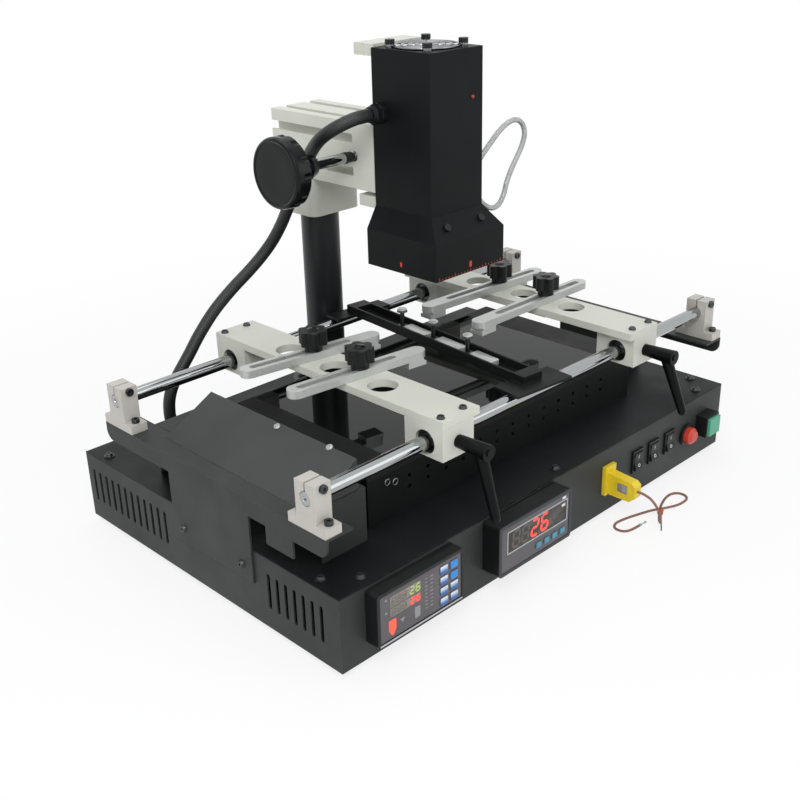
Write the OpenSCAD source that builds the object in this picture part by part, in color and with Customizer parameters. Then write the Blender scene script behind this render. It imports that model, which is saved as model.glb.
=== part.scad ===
// Infrared BGA rework station: base with controls, preheater, board clamps and heater head.
// Millimetres, +Z up, +Y to the back. Origin: centre of the base on the resting plane.

/* [Base] */
// Width of the base along X
base_width = 532; // [480:1:600]
// Depth of the base along Y
base_depth = 354; // [330:1:400]
// Height of the base box without its feet
base_height = 67; // [60:1:90]
// Height of the rubber feet
foot_height = 6; // [4:0.5:10]
// Thickness of the folded sheets
sheet = 1.5; // [1:0.1:2.5]
// Pitch of the side vent slots
vent_pitch = 10.5; // [9:0.5:14]
// Width of a vent slot
vent_width = 4; // [2:0.5:5]

/* [Preheater] */
// Offset of the preheater centre from the base centre along Y
heater_y = -21.5; // [-30:0.5:-15]
// Height of the preheater top above the deck
heater_rise = 48.5; // [42:0.5:60]
// Length of the preheater wall along X
heater_length = 362; // [330:1:380]
// Distance between front and back preheater walls
heater_depth = 196; // [180:1:204]
// Length of the black glass along X
glass_length = 292; // [260:1:300]
// Width of the black glass along Y
glass_depth = 180; // [160:1:186]
// Thickness of the black glass
glass_thick = 4; // [3:0.5:5]
// Height of the blower hood above the preheater top
deflector_rise = 27; // [20:0.5:32]
// Diameter of the wall holes
wall_hole = 4; // [3:0.5:6]

/* [Rods and clamps] */
// Diameter of the two guide rods
rod_diameter = 12; // [10:1:14]
// Distance between the two guide rods
rod_spacing = 252.6; // [250:0.2:258]
// Height of the rod axis above the support foot
rod_rise = 26; // [24:0.5:30]
// Width of a clamp bar along X
bar_width = 43; // [40:0.5:50]
// Length of a clamp bar along Y
bar_length = 292; // [288:1:300]
// Thickness of a clamp bar
bar_thick = 7; // [5:0.5:9]
// Centre of the left clamp bar along X
left_bar_x = -122; // [-160:1:-90]
// Centre of the right clamp bar along X
right_bar_x = 129; // [95:1:160]
// Distance from the knob to the tip of a left board arm
left_reach = 69; // [62:0.5:80]
// Distance from the knob to the tip of a right board arm
right_reach = 105.5; // [90:0.5:110]
// Width of a board arm
arm_width = 15; // [12:0.5:18]
// Thickness of a board arm
arm_thick = 7; // [5:0.5:9]
// Diameter of a star knob
knob_diameter = 26; // [22:1:30]
// Turn of the loose centre support bar about the vertical
support_skew = 5.5; // [0:0.5:6]
// Centre of the centre support bar along X
support_x = 4; // [0:1:8]

/* [Head and arm] */
// Diameter of the column
column_diameter = 38; // [34:1:42]
// Centre of the column along Y
column_y = 134; // [132:1:140]
// Height of the arm underside above the deck
arm_height = 225; // [220:1:250]
// Side of the square arm profile
arm_side = 60; // [56:1:64]
// Width of the heater head along X
head_width = 65; // [62:1:70]
// Depth of the heater head along Y
head_depth = 69; // [64:1:74]
// Height of the heater head above its flare
head_height = 136; // [120:1:150]
// Width of the flared skirt along X
flare_width = 88.5; // [84:0.5:94]
// Depth of the flared skirt along Y
flare_depth = 85; // [80:0.5:90]
// Height of the flare underside above the preheater top
head_gap = 114.5; // [110:0.5:140]
// Diameter of the handwheel
wheel_diameter = 62; // [54:1:66]
// Pitch radius of the pinion on the handwheel shaft
pinion_radius = 6; // [5:0.5:7]

/* [Panel] */
// Width of a panel meter
meter_width = 96; // [90:1:98]
// Height of a panel meter
meter_height = 48; // [44:1:50]
// Centre of the left meter along X
left_meter_x = -192.5; // [-196:0.5:-185]
// Centre of the right meter along X
right_meter_x = -59; // [-65:0.5:-52]
// Travel of the two push buttons
button_travel = 2.5; // [1:0.5:3]

/* [Hidden] */
$fn = 48;

// Gap of a shaft that turns or slides in its bore, on the radius
run_fit = 0.05;
// Gap between flat faces that slide past each other
slide_fit = 0.2;
// Gap between pieces that must never touch
clear = 0.5;

deck_z = foot_height + base_height;
side_x = base_width / 2;
front_y = -base_depth / 2;
back_y = base_depth / 2;
heater_z = deck_z + heater_rise;

// Feet
foot_d = 22;
foot_inset = 34;

// Small screws: washer, pan head and hexagon drive
washer_r = 5;
washer_h = 0.8;
pan_r = 3.6;
pan_h = 2.2;
drive_r = 1.4;

// Places of the deck screws, from the base edges
front_screw_in = 32;
deck_screw_in = 10;
front_screw_y = 11;
side_screw_y = 31;
back_screw_y = 25;
mid_screw_x = 3;

// End plates: a strip with two ears on top, a hump down the base side, a flange inward
plate_thick = 2;
ear_half = rod_spacing / 2 + 21.7;
ear_height = 16.7;
hump_half = 54;
hump_low = foot_height + 36;
flange_depth = 24;
tab_near = 76;
tab_far = 108;
tab_drop = 16;
ear_round = 9;
side_screw = 40;

// Preheater tray
tray_half_x = heater_length / 2;
tray_half_y = heater_depth / 2;
tray_bend = 7;
ledge = 6;
tray_cut = 25;
hole_pitch = 22.2;
hole_count = 13;
hole_row_z = [heater_z - 18, heater_z - 28.4];

// Rod supports
rod_z = heater_z + rod_rise;
rod_r = rod_diameter / 2;
rod_y = [heater_y - rod_spacing / 2, heater_y + rod_spacing / 2];
support_thick = 16;
support_foot = 42;
support_foot_h = 8;
support_post = 22;
support_top = rod_z + 13.5;
support_x0 = side_x - support_thick / 2 + plate_thick;
support_bolt = 32;
pinch_rise = 9.5;
slit = 2;

// Cross-flow blower at the left of the preheater: sheet cover and slanted hood
cover_gap = 13;
cover_in = tray_half_x + cover_gap;
cover_half = 110;
hood_out = side_x + plate_thick - support_thick - clear;
hood_in = cover_in + 6.5;
hood_front = heater_y - cover_half + 1;
hood_back = heater_y + cover_half - 31;
hood_slope = deflector_rise / (hood_out - hood_in);
outlet_rim = 12;

// Clamp bars
block_width = 36;
block_depth = 42;
block_drop = 12;
block_over = 19.7;
block_end = rod_spacing / 2 + block_over;
bar_rise = 16;
bar_under = rod_z + bar_rise;
bar_top = bar_under + bar_thick;
bush_wall = 4.5;
bush_r = rod_r + bush_wall;
bush_length = 30;
bar_hole_d = 26;
knob_pitch = 30;
bar_hole_off = 2.5;
bar_screw = 12.8;
bar_screw_in = 7;
bar_screw_y = min(bar_length / 2, block_end) - bar_screw_in;

// Board arms
slot_width = 6.8;
stud_d = 6;
slot_end = 9;
jaw_length = 22;
jaw_drop = 6;
jaw_lip = 5;
jaw_notch = 2.5;
left_tail = 73;
right_tail = 61;
arm_turn = [-9, -6.5, -3, 0];
arm_low = bar_top + run_fit;
arm_top = arm_low + arm_thick;

// Star knobs
knob_collar_h = 6;
knob_h = 13;
knob_lobes = 6;
knob_collar_r = 8;
lobe_r = 4;
lobe_gap_r = 3.4;

// Clamp levers
lever_axis_z = rod_z + 1;
lever_hub = 32;
lever_hub_r = 7;
lever_root_r = 5.5;
lever_tip_r = 4;
lever_inset = 9.5;
lever_arm = 58;
lever_lean = 17;
lever_turn_right = -9;
lever_stud_r = 4;
lever_cap_r = 3;
lever_cap_h = 1.2;

// Centre support bar
support_under = rod_z + rod_r + run_fit;
support_wide = 22;
support_high = 9;
support_wall = 2;
support_solid = 14;
support_tee = 66;
tee_front = 15;
tee_back = 5;
tee_inner = 15;
tee_thick = 2.5;
post_y = [-43, 5, 51];
post_high = 20;

// Column, bracket and arm
arm_under = deck_z + arm_height;
arm_back = column_y + 28;
bracket_height = 38;
groove_open = 8;
groove_deep = 8;
groove_wide = 12;
groove_lip = 2.5;
groove_at = arm_side / 4;
core_r = 8;
corner_in = 5.5;
corner_r = 2.2;
flange_d = 74;
flange_h = 6;
flange_bolt = 28;
bracket_depth = 56;
bracket_round = 9;
column_seat = 2;
carriage_thick = 7;

// Head
head_under = heater_z + head_gap;
skirt_high = 33;
cone_high = 19;
head_z0 = head_under + skirt_high + cone_high;
head_z1 = head_z0 + head_height;
head_back = 17.5;
head_front = head_back - head_depth;
head_mid = (head_back + head_front) / 2;
rail_depth = 24;
rail_back = head_back + rail_depth;
stop_high = 10;
stop_play = 4;
rail_low = min(head_z0 - stop_play, arm_under - stop_high - stop_play);
rail_over = 2.5;
rail_top = max(head_z1 + rail_over, arm_under + arm_side + stop_high + stop_play);
rail_half = 9;
neck_half = 5;
neck_depth = 8;
rack_half = 4.5;
rack_seat = 7;
pinion_teeth = 15;
pinion_half = 4;
rack_tooth = 2 * PI * pinion_radius / pinion_teeth;
tooth_high = 1.2;
pinion_y = rail_back - tooth_high / 2 + pinion_radius;
pinion_rise = 29.5;
pinion_z = arm_under + pinion_rise;
pocket_r = pinion_radius + 3;
pocket_half = rail_half + 1;
carriage_front = head_back + 3;
arm_front = rail_back + slide_fit + carriage_thick;
shaft_r = pinion_radius - 1;
cable_d = 13;
gland_y = head_back - 10.5;
gland_rise = 72.5;
gland_z = arm_under + gland_rise;
gland_length = 14;
gland_r = cable_d / 2 + 1;
fan_r = 27;
fan_top = head_z1 - 3;
fan_high = 14;
fan_hub_r = 11;
fan_pin_r = 2;
fan_blades = 7;
blade_long = 14.2;
blade_wide = 16;
blade_thick = 1.2;
guard_r = 27.5;
guard_gap = 6.2;
guard_wire = 1.2;
guard_pitch = 22;
guard_tab = 2 * guard_wire + slide_fit;
guard_tab_r = 4;
guard_hole_r = 2;
thumb_r = 4.2;
thumb_h = 4;
flare_screw_x = 22;
flare_screw_r = 3.4;
flare_screw_h = 2;
emitter_up = 6;
emitter_thick = 9;
rib_r = 3;
rib_pitch = 10;

// Handwheel
wheel_x = -122;
wheel_thick = 17;
wheel_dish = 4;
wheel_rim = 8;
wheel_smooth = 8;
wheel_hub_r = 12;
hub_end = -79;
hub_taper = 8;
scallop_r = 4.4;
scallop_deep = 1.8;
neck_r = 3.4;
neck_long = 9;

// Panel
left_meter_out = 13.5;
right_meter_out = 19;
left_meter_z = foot_height + 39;
right_meter_z = foot_height + 40.5;
meter_deep = 40;
meter_recess = 1.2;
film = 0.7;
key_h = 0.6;
left_keys_x = [24.7, 36.3];
left_key_low = -15.3;
left_key_pitch = 9.8;
right_key_first = 3.4;
right_key_pitch = 10.8;
right_key_z = -13.3;
rocker_x = [116, 143, 171];
rocker_z = foot_height + 36;
rocker_w = 13;
rocker_h = 19;
rocker_frame = 2;
rocker_out = 2.5;
rocker_pin_r = 0.8;
rocker_pin_y = front_y - rocker_out / 2;
red_x = 203;
red_z = foot_height + 32;
red_d = 17;
green_x = 232;
green_z = foot_height + 36;
green_side = 19;
green_out = 13;
socket_x = 69;
socket_z = foot_height + 35;
socket_w = 16;
socket_h = 29;
socket_out = 4;
plug_out = 30;
inlet_x = -150;
inlet_w = 48;
inlet_h = 28;
inlet_z = foot_height + 32;

// Cords: hand-chosen route points and diameters
cable_start = -head_width / 2 - gland_length - clear;
cable_route = [[cable_start, gland_y, gland_z], [cable_start - 5, gland_y, gland_z], [-61, 8.5, 369.7],
    [-69, 12.8, 366.8], [-74.8, 19.8, 362.3], [-77.5, 29, 356.5], [-77, 39, 350], [-73.5, 51, 341.5],
    [-69.5, 65, 329], [-65.5, 82, 310.5], [-61, 98, 292], [-57.5, 113, 273], [-56, 127, 254],
    [-58.5, 138.5, 237], [-67, 146, 222.5], [-82, 149, 210], [-104, 149, 197], [-126, 149, 181.5],
    [-145, 149, 163.5], [-160, 149, 146], [-173, 149, 131.5], [-182, 149, 120], [-187, 149, 108],
    [-188.5, 149, 96], [-188, 149, 84], [-188, 149, deck_z - sheet]];
hose_d = 5;
hose_start = head_width / 2 + clear;
hose_route = [[hose_start, -30, 312], [39, -30, 312], [48, -30, 316.5], [63, -30, 329], [81, -30, 342.5],
    [95, -30, 348.5], [106, -30, 348.5], [114, -30, 343], [117, -30, 334], [113.5, -30, 324],
    [106, -30, 313.5], [98, -30, 303], [92, -30, 292.5], [88, -30, 282], [81, -30, 274], [71, -30, 272.5],
    [60, -30, 278], [50, -30, 287], [41, -30, 292.5], [hose_start, -30, 293]];
wire_d = 2.4;
wire_z = wire_d / 2 + 0.2;
wire_start = front_y - socket_out - plug_out - slide_fit;
wire_route = [[socket_x, wire_start, socket_z - 2], [socket_x, wire_start - 6, socket_z - 2],
    [70.5, -225, 35.5], [74, -230.5, 26], [79, -230.5, 14], [87, -226, 5], [98, -218, wire_z],
    [114, -208.5, wire_z], [131, -202, wire_z], [144, -200.5, wire_z], [151.5, -205, wire_z],
    [151.5, -213, wire_z], [145, -217.5, wire_z], [131, -217.5, 2], [115, -214, 4], [102, -207, 4],
    [90, -200, 2], [75, -195, wire_z], [63, -193.7, wire_z], [55.5, -198, wire_z], [55.5, -206, wire_z],
    [62, -210.5, wire_z], [77, -212, wire_z]];

function unit(v) = v / norm(v);
function spline(p, i, t) =
    let (n = len(p))
    let (a = p[max(i - 1, 0)], b = p[i], c = p[min(i + 1, n - 1)], d = p[min(i + 2, n - 1)])
    0.5 * (2 * b + (c - a) * t + (2 * a - 5 * b + 4 * c - d) * t * t + (3 * b - a - 3 * c + d) * t * t * t);
function path(p, steps) = concat([for (i = [0:len(p) - 2]) for (k = [0:steps - 1]) spline(p, i, k / steps)],
    [p[len(p) - 1]]);
function tangent(p, i) = unit(p[min(i + 1, len(p) - 1)] - p[max(i - 1, 0)]);
function across(t, v) = unit(v - t * (v * t));
function frames(p, i, v) = let (w = across(tangent(p, i), v))
    i == len(p) - 1 ? [w] : concat([w], frames(p, i + 1, w));
function ring(c, t, w, r, n) = let (u = cross(t, w))
    [for (k = [0:n - 1]) c + r * (cos(360 * k / n) * w + sin(360 * k / n) * u)];

// Plain box given by its limits
module box(x0, x1, y0, y1, z0, z1) {
    translate([x0, y0, z0]) cube([x1 - x0, y1 - y0, z1 - z0]);
}

// Cylinder along X from x0 to x1
module rod_x(r, x0, x1, y, z) {
    translate([x0, y, z]) rotate([0, 90, 0]) cylinder(r = r, h = x1 - x0);
}

// Cylinder along Y from y0 to y1
module rod_y_axis(r, x, y0, y1, z) {
    translate([x, y1, z]) rotate([90, 0, 0]) cylinder(r = r, h = y1 - y0);
}

// Cylinder along Z from z0 to z1
module rod_up(r, x, y, z0, z1) {
    translate([x, y, z0]) cylinder(r = r, h = z1 - z0);
}

// Rectangle with round corners, centred
module round_rect(w, h, r) {
    square([w - 2 * r, h], center = true);
    square([w, h - 2 * r], center = true);
    for (x = [-1, 1], y = [-1, 1]) translate([x * (w / 2 - r), y * (h / 2 - r)]) circle(r);
}

// Slot with round ends along Y, centred
module slot_2d(length, width) {
    square([width, length - width], center = true);
    for (y = [-1, 1]) translate([0, y * (length - width) / 2]) circle(width / 2);
}

// Swept round tube along a list of points
module tube(points, d, sides) {
    n = len(points);
    f = frames(points, 0, across(tangent(points, 0), [0.3, 0.2, 1]));
    verts = [for (i = [0:n - 1]) each ring(points[i], tangent(points, i), f[i], d / 2, sides)];
    skin = [for (i = [0:n - 2]) for (k = [0:sides - 1]) let (m = (k + 1) % sides)
        [i * sides + k, (i + 1) * sides + k, (i + 1) * sides + m, i * sides + m]];
    caps = [[for (k = [0:sides - 1]) k], [for (k = [sides - 1:-1:0]) (n - 1) * sides + k]];
    polyhedron(points = verts, faces = concat(skin, caps));
}

// Pan-head screw standing on a face at the origin, head up, with washer
module screw_up(washer = true) {
    if (washer) cylinder(r = washer_r, h = washer_h);
    translate([0, 0, washer ? washer_h : 0]) difference() {
        cylinder(r1 = pan_r, r2 = 2 * drive_r, h = pan_h);
        translate([0, 0, 0.55 * pan_h]) cylinder(r = drive_r, h = pan_h, $fn = 6);
    }
}

// Vent slots of one side wall, as cutters along X
module side_vents(x) {
    front_first = front_y + 21;
    back_first = back_y - 10.5;
    for (i = [0:6]) vent(x, front_first + i * vent_pitch);
    for (i = [0:11]) vent(x, back_first - i * vent_pitch);
}

module vent(x, y) {
    low = foot_height + 19;
    high = foot_height + 52;
    translate([x - 3 * sheet, y, (low + high) / 2]) rotate([0, 90, 0])
        linear_extrude(6 * sheet) slot_2d_x(high - low, vent_width);
}

// Slot with round ends along X, centred
module slot_2d_x(length, width) {
    rotate([0, 0, 90]) slot_2d(length, width);
}

module base_shell() color("#3a3c3c") {
    difference() {
        box(-side_x, side_x, front_y, back_y, foot_height, deck_z - sheet);
        box(-side_x + sheet, side_x - sheet, front_y + sheet, back_y - sheet, foot_height + sheet, deck_z);
        side_vents(-side_x);
        side_vents(side_x);
        panel_cuts();
        box(inlet_x - inlet_w / 2, inlet_x + inlet_w / 2, back_y - 3 * sheet, back_y + sheet,
            inlet_z - inlet_h / 2, inlet_z + inlet_h / 2);
        for (x = [20:10:120], z = [-16:8:16])
            rod_y_axis(2.5, x, back_y - 3 * sheet, back_y + sheet, inlet_z + z);
    }
}

// Openings in the front wall for everything mounted there
module panel_cuts() {
    cut_w = meter_width - 4;
    cut_h = meter_height - 3;
    for (m = [[left_meter_x, left_meter_z], [right_meter_x, right_meter_z]])
        box(m[0] - cut_w / 2, m[0] + cut_w / 2, front_y - sheet, front_y + 3 * sheet, m[1] - cut_h / 2,
            m[1] + cut_h / 2);
    for (x = rocker_x) box(x - rocker_w / 2, x + rocker_w / 2, front_y - sheet, front_y + 3 * sheet,
        rocker_z - rocker_h / 2, rocker_z + rocker_h / 2);
    rod_y_axis(red_d / 2 + 1, red_x, front_y - sheet, front_y + 3 * sheet, red_z);
    rod_y_axis(green_side / 2, green_x, front_y - sheet, front_y + 3 * sheet, green_z);
    box(socket_x - socket_w / 2 + 2, socket_x + socket_w / 2 - 2, front_y - sheet, front_y + 3 * sheet,
        socket_z - socket_h / 2 + 3, socket_z + socket_h / 2 - 3);
}

cable_end = cable_route[len(cable_route) - 1];

module deck() color("#2c2e2f") {
    difference() {
        box(-side_x, side_x, front_y, back_y, deck_z - sheet, deck_z);
        rod_up(cable_d / 2 + clear, cable_end[0], cable_end[1], deck_z - 2 * sheet, deck_z + sheet);
        box(-tray_half_x + tray_cut, tray_half_x - tray_cut, heater_y - tray_half_y + tray_cut,
            heater_y + tray_half_y - tray_cut, deck_z - 2 * sheet, deck_z + sheet);
    }
}

module feet() color("#1c1c1c") {
    for (x = [-1, 1], y = [-1, 1])
        translate([x * (side_x - foot_inset), y * (back_y - foot_inset), 0])
            cylinder(r1 = foot_d / 2 - 1.5, r2 = foot_d / 2, h = foot_height);
}

// Screws with washers on the deck, and the side screws of the end plates
module base_screws() color("#b9bab8") {
    for (s = [-1, 1], p = [[front_screw_in, front_y + front_screw_y], [deck_screw_in, front_y + side_screw_y],
        [deck_screw_in, back_y - back_screw_y]]) translate([s * (side_x - p[0]), p[1], deck_z]) screw_up();
    translate([mid_screw_x, front_y + front_screw_y, deck_z]) screw_up();
    for (s = [-1, 1], y = [-side_screw, side_screw])
        translate([s * (side_x + plate_thick), heater_y + y, foot_height + 49]) rotate([0, s * 90, 0])
            screw_up(false);
}

// End plate in the plane of the left side, drawn for x < 0
module end_plate() {
    top = heater_z;
    strip_low = heater_z - ear_height;
    x0 = -side_x - plate_thick;
    difference() {
        union() {
            box(x0, -side_x, heater_y - ear_half, heater_y + ear_half, strip_low, top);
            box(x0, -side_x, heater_y - hump_half, heater_y + hump_half, hump_low, strip_low);
            box(x0, -side_x, heater_y - tab_far, heater_y - tab_near, strip_low - tab_drop, strip_low);
            box(x0, -side_x + flange_depth, heater_y - ear_half, heater_y + ear_half, top - plate_thick, top);
        }
        for (s = [-1, 1]) translate([x0 - 1, heater_y + s * ear_half, strip_low]) ear_corner(s);
    }
}

// Cutter that rounds the lower corner of an ear
module ear_corner(s) {
    rotate([90, 0, 90]) linear_extrude(plate_thick + 2) difference() {
        translate([s > 0 ? -ear_round : -1, -1]) square([ear_round + 1, ear_round + 1]);
        translate([-s * ear_round, ear_round]) circle(ear_round);
    }
}

module end_plate_left() color("#565858") end_plate();

// The same plate turned half round about the preheater centre
module end_plate_right() color("#565858") {
    translate([0, heater_y, 0]) rotate([0, 0, 180]) translate([0, -heater_y, 0]) end_plate();
}

// Preheater housing: perforated front and back walls, top frame and ledge for the glass
module heater_tray() color("#343535") {
    open_x = glass_length / 2 + clear;
    open_y = glass_depth / 2 + clear;
    difference() {
        union() {
            translate([0, heater_y, 0]) rotate([90, 0, 90]) translate([0, 0, -tray_half_x])
                linear_extrude(2 * tray_half_x) tray_profile();
            box(-tray_half_x, tray_half_x, heater_y - tray_half_y + tray_bend,
                heater_y + tray_half_y - tray_bend, heater_z - sheet, heater_z);
            for (s = [-1, 1]) box(s > 0 ? tray_half_x - sheet : -tray_half_x,
                s > 0 ? tray_half_x : -tray_half_x + sheet, heater_y - tray_half_y + tray_bend,
                heater_y + tray_half_y - tray_bend, deck_z, heater_z - sheet);
            box(-open_x - sheet, open_x + sheet, heater_y - open_y - sheet, heater_y + open_y + sheet,
                heater_z - glass_thick - sheet, heater_z - sheet);
        }
        box(-open_x, open_x, heater_y - open_y, heater_y + open_y, heater_z - glass_thick, heater_z + 1);
        box(-open_x + ledge, open_x - ledge, heater_y - open_y + ledge, heater_y + open_y - ledge,
            heater_z - 2 * glass_thick - sheet, heater_z + 1);
        for (i = [0:hole_count - 1], z = hole_row_z)
            rod_y_axis(wall_hole / 2, (i - (hole_count - 1) / 2) * hole_pitch,
                heater_y - tray_half_y - 1, heater_y + tray_half_y + 1, z);
    }
}

// Section of the housing across X: two walls with a rounded bend to the top
module tray_profile() {
    difference() {
        union() {
            translate([-tray_half_y, deck_z]) square([2 * tray_half_y, heater_z - deck_z - tray_bend]);
            translate([-tray_half_y + tray_bend, deck_z])
                square([2 * (tray_half_y - tray_bend), heater_z - deck_z]);
            for (s = [-1, 1])
                translate([s * (tray_half_y - tray_bend), heater_z - tray_bend]) circle(tray_bend);
        }
        translate([-tray_half_y + sheet, deck_z - 1])
            square([2 * (tray_half_y - sheet), heater_z - deck_z - tray_bend + 1]);
        translate([-tray_half_y + tray_bend, deck_z - 1])
            square([2 * (tray_half_y - tray_bend), heater_z - deck_z - sheet + 1]);
        for (s = [-1, 1])
            translate([s * (tray_half_y - tray_bend), heater_z - tray_bend]) circle(tray_bend - sheet);
    }
}

module heater_glass() color("#101413") {
    box(-glass_length / 2, glass_length / 2, heater_y - glass_depth / 2, heater_y + glass_depth / 2,
        heater_z - glass_thick, heater_z);
}

// Sheet cover of the cross-flow blower beside the preheater, with its outlet on top
module blower_cover() color("#505352") {
    x0 = -side_x + flange_depth + clear;
    y0 = heater_y - cover_half;
    y1 = heater_y + cover_half;
    difference() {
        box(x0, -cover_in, y0, y1, deck_z, heater_z);
        box(x0 - 1, -cover_in - sheet, y0 + sheet, y1 - sheet, deck_z - 1, heater_z - sheet);
        box(x0 + outlet_rim, -hood_in - sheet, hood_front + outlet_rim, hood_back - outlet_rim,
            heater_z - 2 * sheet, heater_z + 1);
    }
}

// Solid wedge from y0 to y1: roof lowered by drop, other sides moved out by over
module hood_wedge(y0, y1, drop, over) {
    translate([0, y1, heater_z]) rotate([90, 0, 0]) linear_extrude(y1 - y0)
        polygon([[-hood_out + (drop - over) / hood_slope, -over],
            [-hood_in + over, hood_slope * (hood_out - hood_in + over) - drop], [-hood_in + over, -over]]);
}

// Slanted hood over the blower outlet, open towards the board
module blower_hood() color("#565957") {
    difference() {
        hood_wedge(hood_front, hood_back, 0, 0);
        hood_wedge(hood_front + sheet, hood_back - sheet, sheet * sqrt(1 + hood_slope * hood_slope), 1);
    }
}

module rods() color("#c9cccd") {
    for (y = rod_y) rod_x(rod_r, -support_x0 - support_thick / 2, support_x0 + support_thick / 2, y, rod_z);
}

// Clamp-type shaft support with foot, post, slit and screw holes, standing at y on the end plate
module rod_support(x, y) {
    x0 = x - support_thick / 2;
    x1 = x + support_thick / 2;
    difference() {
        union() {
            box(x0, x1, y - support_foot / 2, y + support_foot / 2, heater_z, heater_z + support_foot_h);
            box(x0, x1, y - support_post / 2, y + support_post / 2, heater_z, support_top);
        }
        rod_x(rod_r, x0 - 1, x1 + 1, y, rod_z);
        box(x0 - 1, x1 + 1, y - slit / 2, y + slit / 2, rod_z, support_top + 1);
        rod_y_axis(2.1, x, y - support_post, y + support_post, rod_z + pinch_rise);
    }
}

module rod_supports() color("#d9d7d0") {
    for (s = [-1, 1], y = rod_y) rod_support(s * support_x0, y);
}

// Socket-head screws: foot and pinch screws of the rod supports, and the bracket screws
module support_screws() color("#8d8f90") {
    for (s = [-1, 1], y = rod_y) {
        for (t = [-1, 1]) translate([s * support_x0, y + t * support_bolt / 2, heater_z + support_foot_h])
            socket_head(3.5, 3.5);
        translate([s * support_x0, y - support_post / 2, rod_z + pinch_rise]) rotate([90, 0, 0])
            socket_head(3.5, 2.5);
    }
    for (z = [11, 27]) translate([arm_side / 2 + 1, column_y, arm_under - bracket_height + z])
        rotate([0, 90, 0]) socket_head(5, 4);
}

// Cylinder-head screw with hexagon socket, on a face at the origin
module socket_head(r, h) {
    difference() {
        cylinder(r = r, h = h);
        translate([0, 0, h / 2]) cylinder(r = r / 2, h = h, $fn = 6);
    }
}

module column() color("#222527") {
    rod_up(column_diameter / 2, 0, column_y, deck_z, arm_under - column_seat);
    difference() {
        rod_up(flange_d / 2, 0, column_y, deck_z, deck_z + flange_h);
        rod_up(column_diameter / 2 - 1, 0, column_y, deck_z - 1, deck_z + flange_h + 1);
        for (a = [45:90:315]) rod_up(2.7, flange_bolt * cos(a), column_y + flange_bolt * sin(a), deck_z - 1,
            deck_z + flange_h + 1);
    }
}

// Clamp block between column and arm
module bracket() color("#d5d6cc") {
    z0 = arm_under - bracket_height;
    difference() {
        translate([0, column_y, z0]) linear_extrude(bracket_height)
            round_rect(arm_side + 2, bracket_depth, bracket_round);
        rod_up(column_diameter / 2, 0, column_y, z0 - 1, arm_under - column_seat);
    }
}

// Cross section of the square arm profile with two grooves on each side
module arm_section() {
    difference() {
        square([arm_side, arm_side], center = true);
        for (a = [0:90:270], t = [-1, 1]) rotate([0, 0, a]) translate([t * groove_at, arm_side / 2]) groove();
        circle(core_r);
        for (x = [-1, 1], y = [-1, 1])
            translate([x * (arm_side / 2 - corner_in), y * (arm_side / 2 - corner_in)]) circle(corner_r);
    }
}

// T-shaped groove cut down from the edge at the origin
module groove() {
    translate([-groove_open / 2, -groove_deep]) square([groove_open, groove_deep + 1]);
    translate([-groove_wide / 2, -groove_deep]) square([groove_wide, groove_deep - groove_lip]);
}

module arm() color("#dcddd3") {
    mid_z = arm_under + arm_side / 2;
    difference() {
        translate([0, arm_back, mid_z]) rotate([90, 0, 0]) linear_extrude(arm_back - arm_front) arm_section();
        rod_x(pocket_r, -pocket_half, pocket_half, pinion_y, pinion_z);
        rod_x(shaft_r + run_fit, -arm_side, arm_side, pinion_y, pinion_z);
    }
}

// Block on the front end of the arm, with an upright T-shaped channel for the rail
module carriage() color("#cfd0c6") {
    z0 = arm_under;
    z1 = arm_under + arm_side;
    neck = neck_half + slide_fit;
    wide = rail_half + slide_fit;
    difference() {
        box(-arm_side / 2, arm_side / 2, carriage_front, arm_front, z0, z1);
        box(-neck, neck, carriage_front - 1, rail_back, z0 - 1, z1 + 1);
        box(-wide, wide, head_back + neck_depth - slide_fit, rail_back + slide_fit, z0 - 1, z1 + 1);
        rod_x(pocket_r, -pocket_half, pocket_half, pinion_y, pinion_z);
        rod_x(shaft_r + run_fit, -arm_side, arm_side, pinion_y, pinion_z);
    }
}

// Upright T-shaped rail on the back of the head, with a stop block at each end and a seat for the rack
module rail() color("#e0e1d8") {
    box(-neck_half, neck_half, head_back, head_back + neck_depth, rail_low, rail_top);
    difference() {
        box(-rail_half, rail_half, head_back + neck_depth, rail_back, rail_low, rail_top);
        box(-rack_half, rack_half, rail_back - rack_seat, rail_back + 1, rail_low + stop_high,
            rail_top - stop_high);
    }
    for (z = [rail_low, rail_top - stop_high])
        box(-arm_side / 2, arm_side / 2, head_back, rail_back, z, z + stop_high);
}

// Toothed rack in the seat of the rail, one tooth level with the pinion axis
module rack() color("#a9acae") {
    pitch_y = rail_back - tooth_high / 2;
    low = rail_low + stop_high;
    high = rail_top - stop_high;
    first = -floor((pinion_z - low) / rack_tooth - 0.5);
    last = floor((high - pinion_z) / rack_tooth - 0.5);
    box(-rack_half, rack_half, rail_back - rack_seat, pitch_y - tooth_high / 2, low, high);
    for (i = [first:last]) translate([-rack_half, pitch_y, pinion_z + i * rack_tooth]) rotate([90, 0, 90])
        linear_extrude(2 * rack_half) rack_profile();
}

// Outline of one rack tooth, tip towards the pinion
module rack_profile() {
    root = 0.35 * rack_tooth;
    tip = 0.16 * rack_tooth;
    half = tooth_high / 2;
    polygon([[-half, -root], [half, -tip], [half, tip], [-half, root]]);
}

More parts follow.
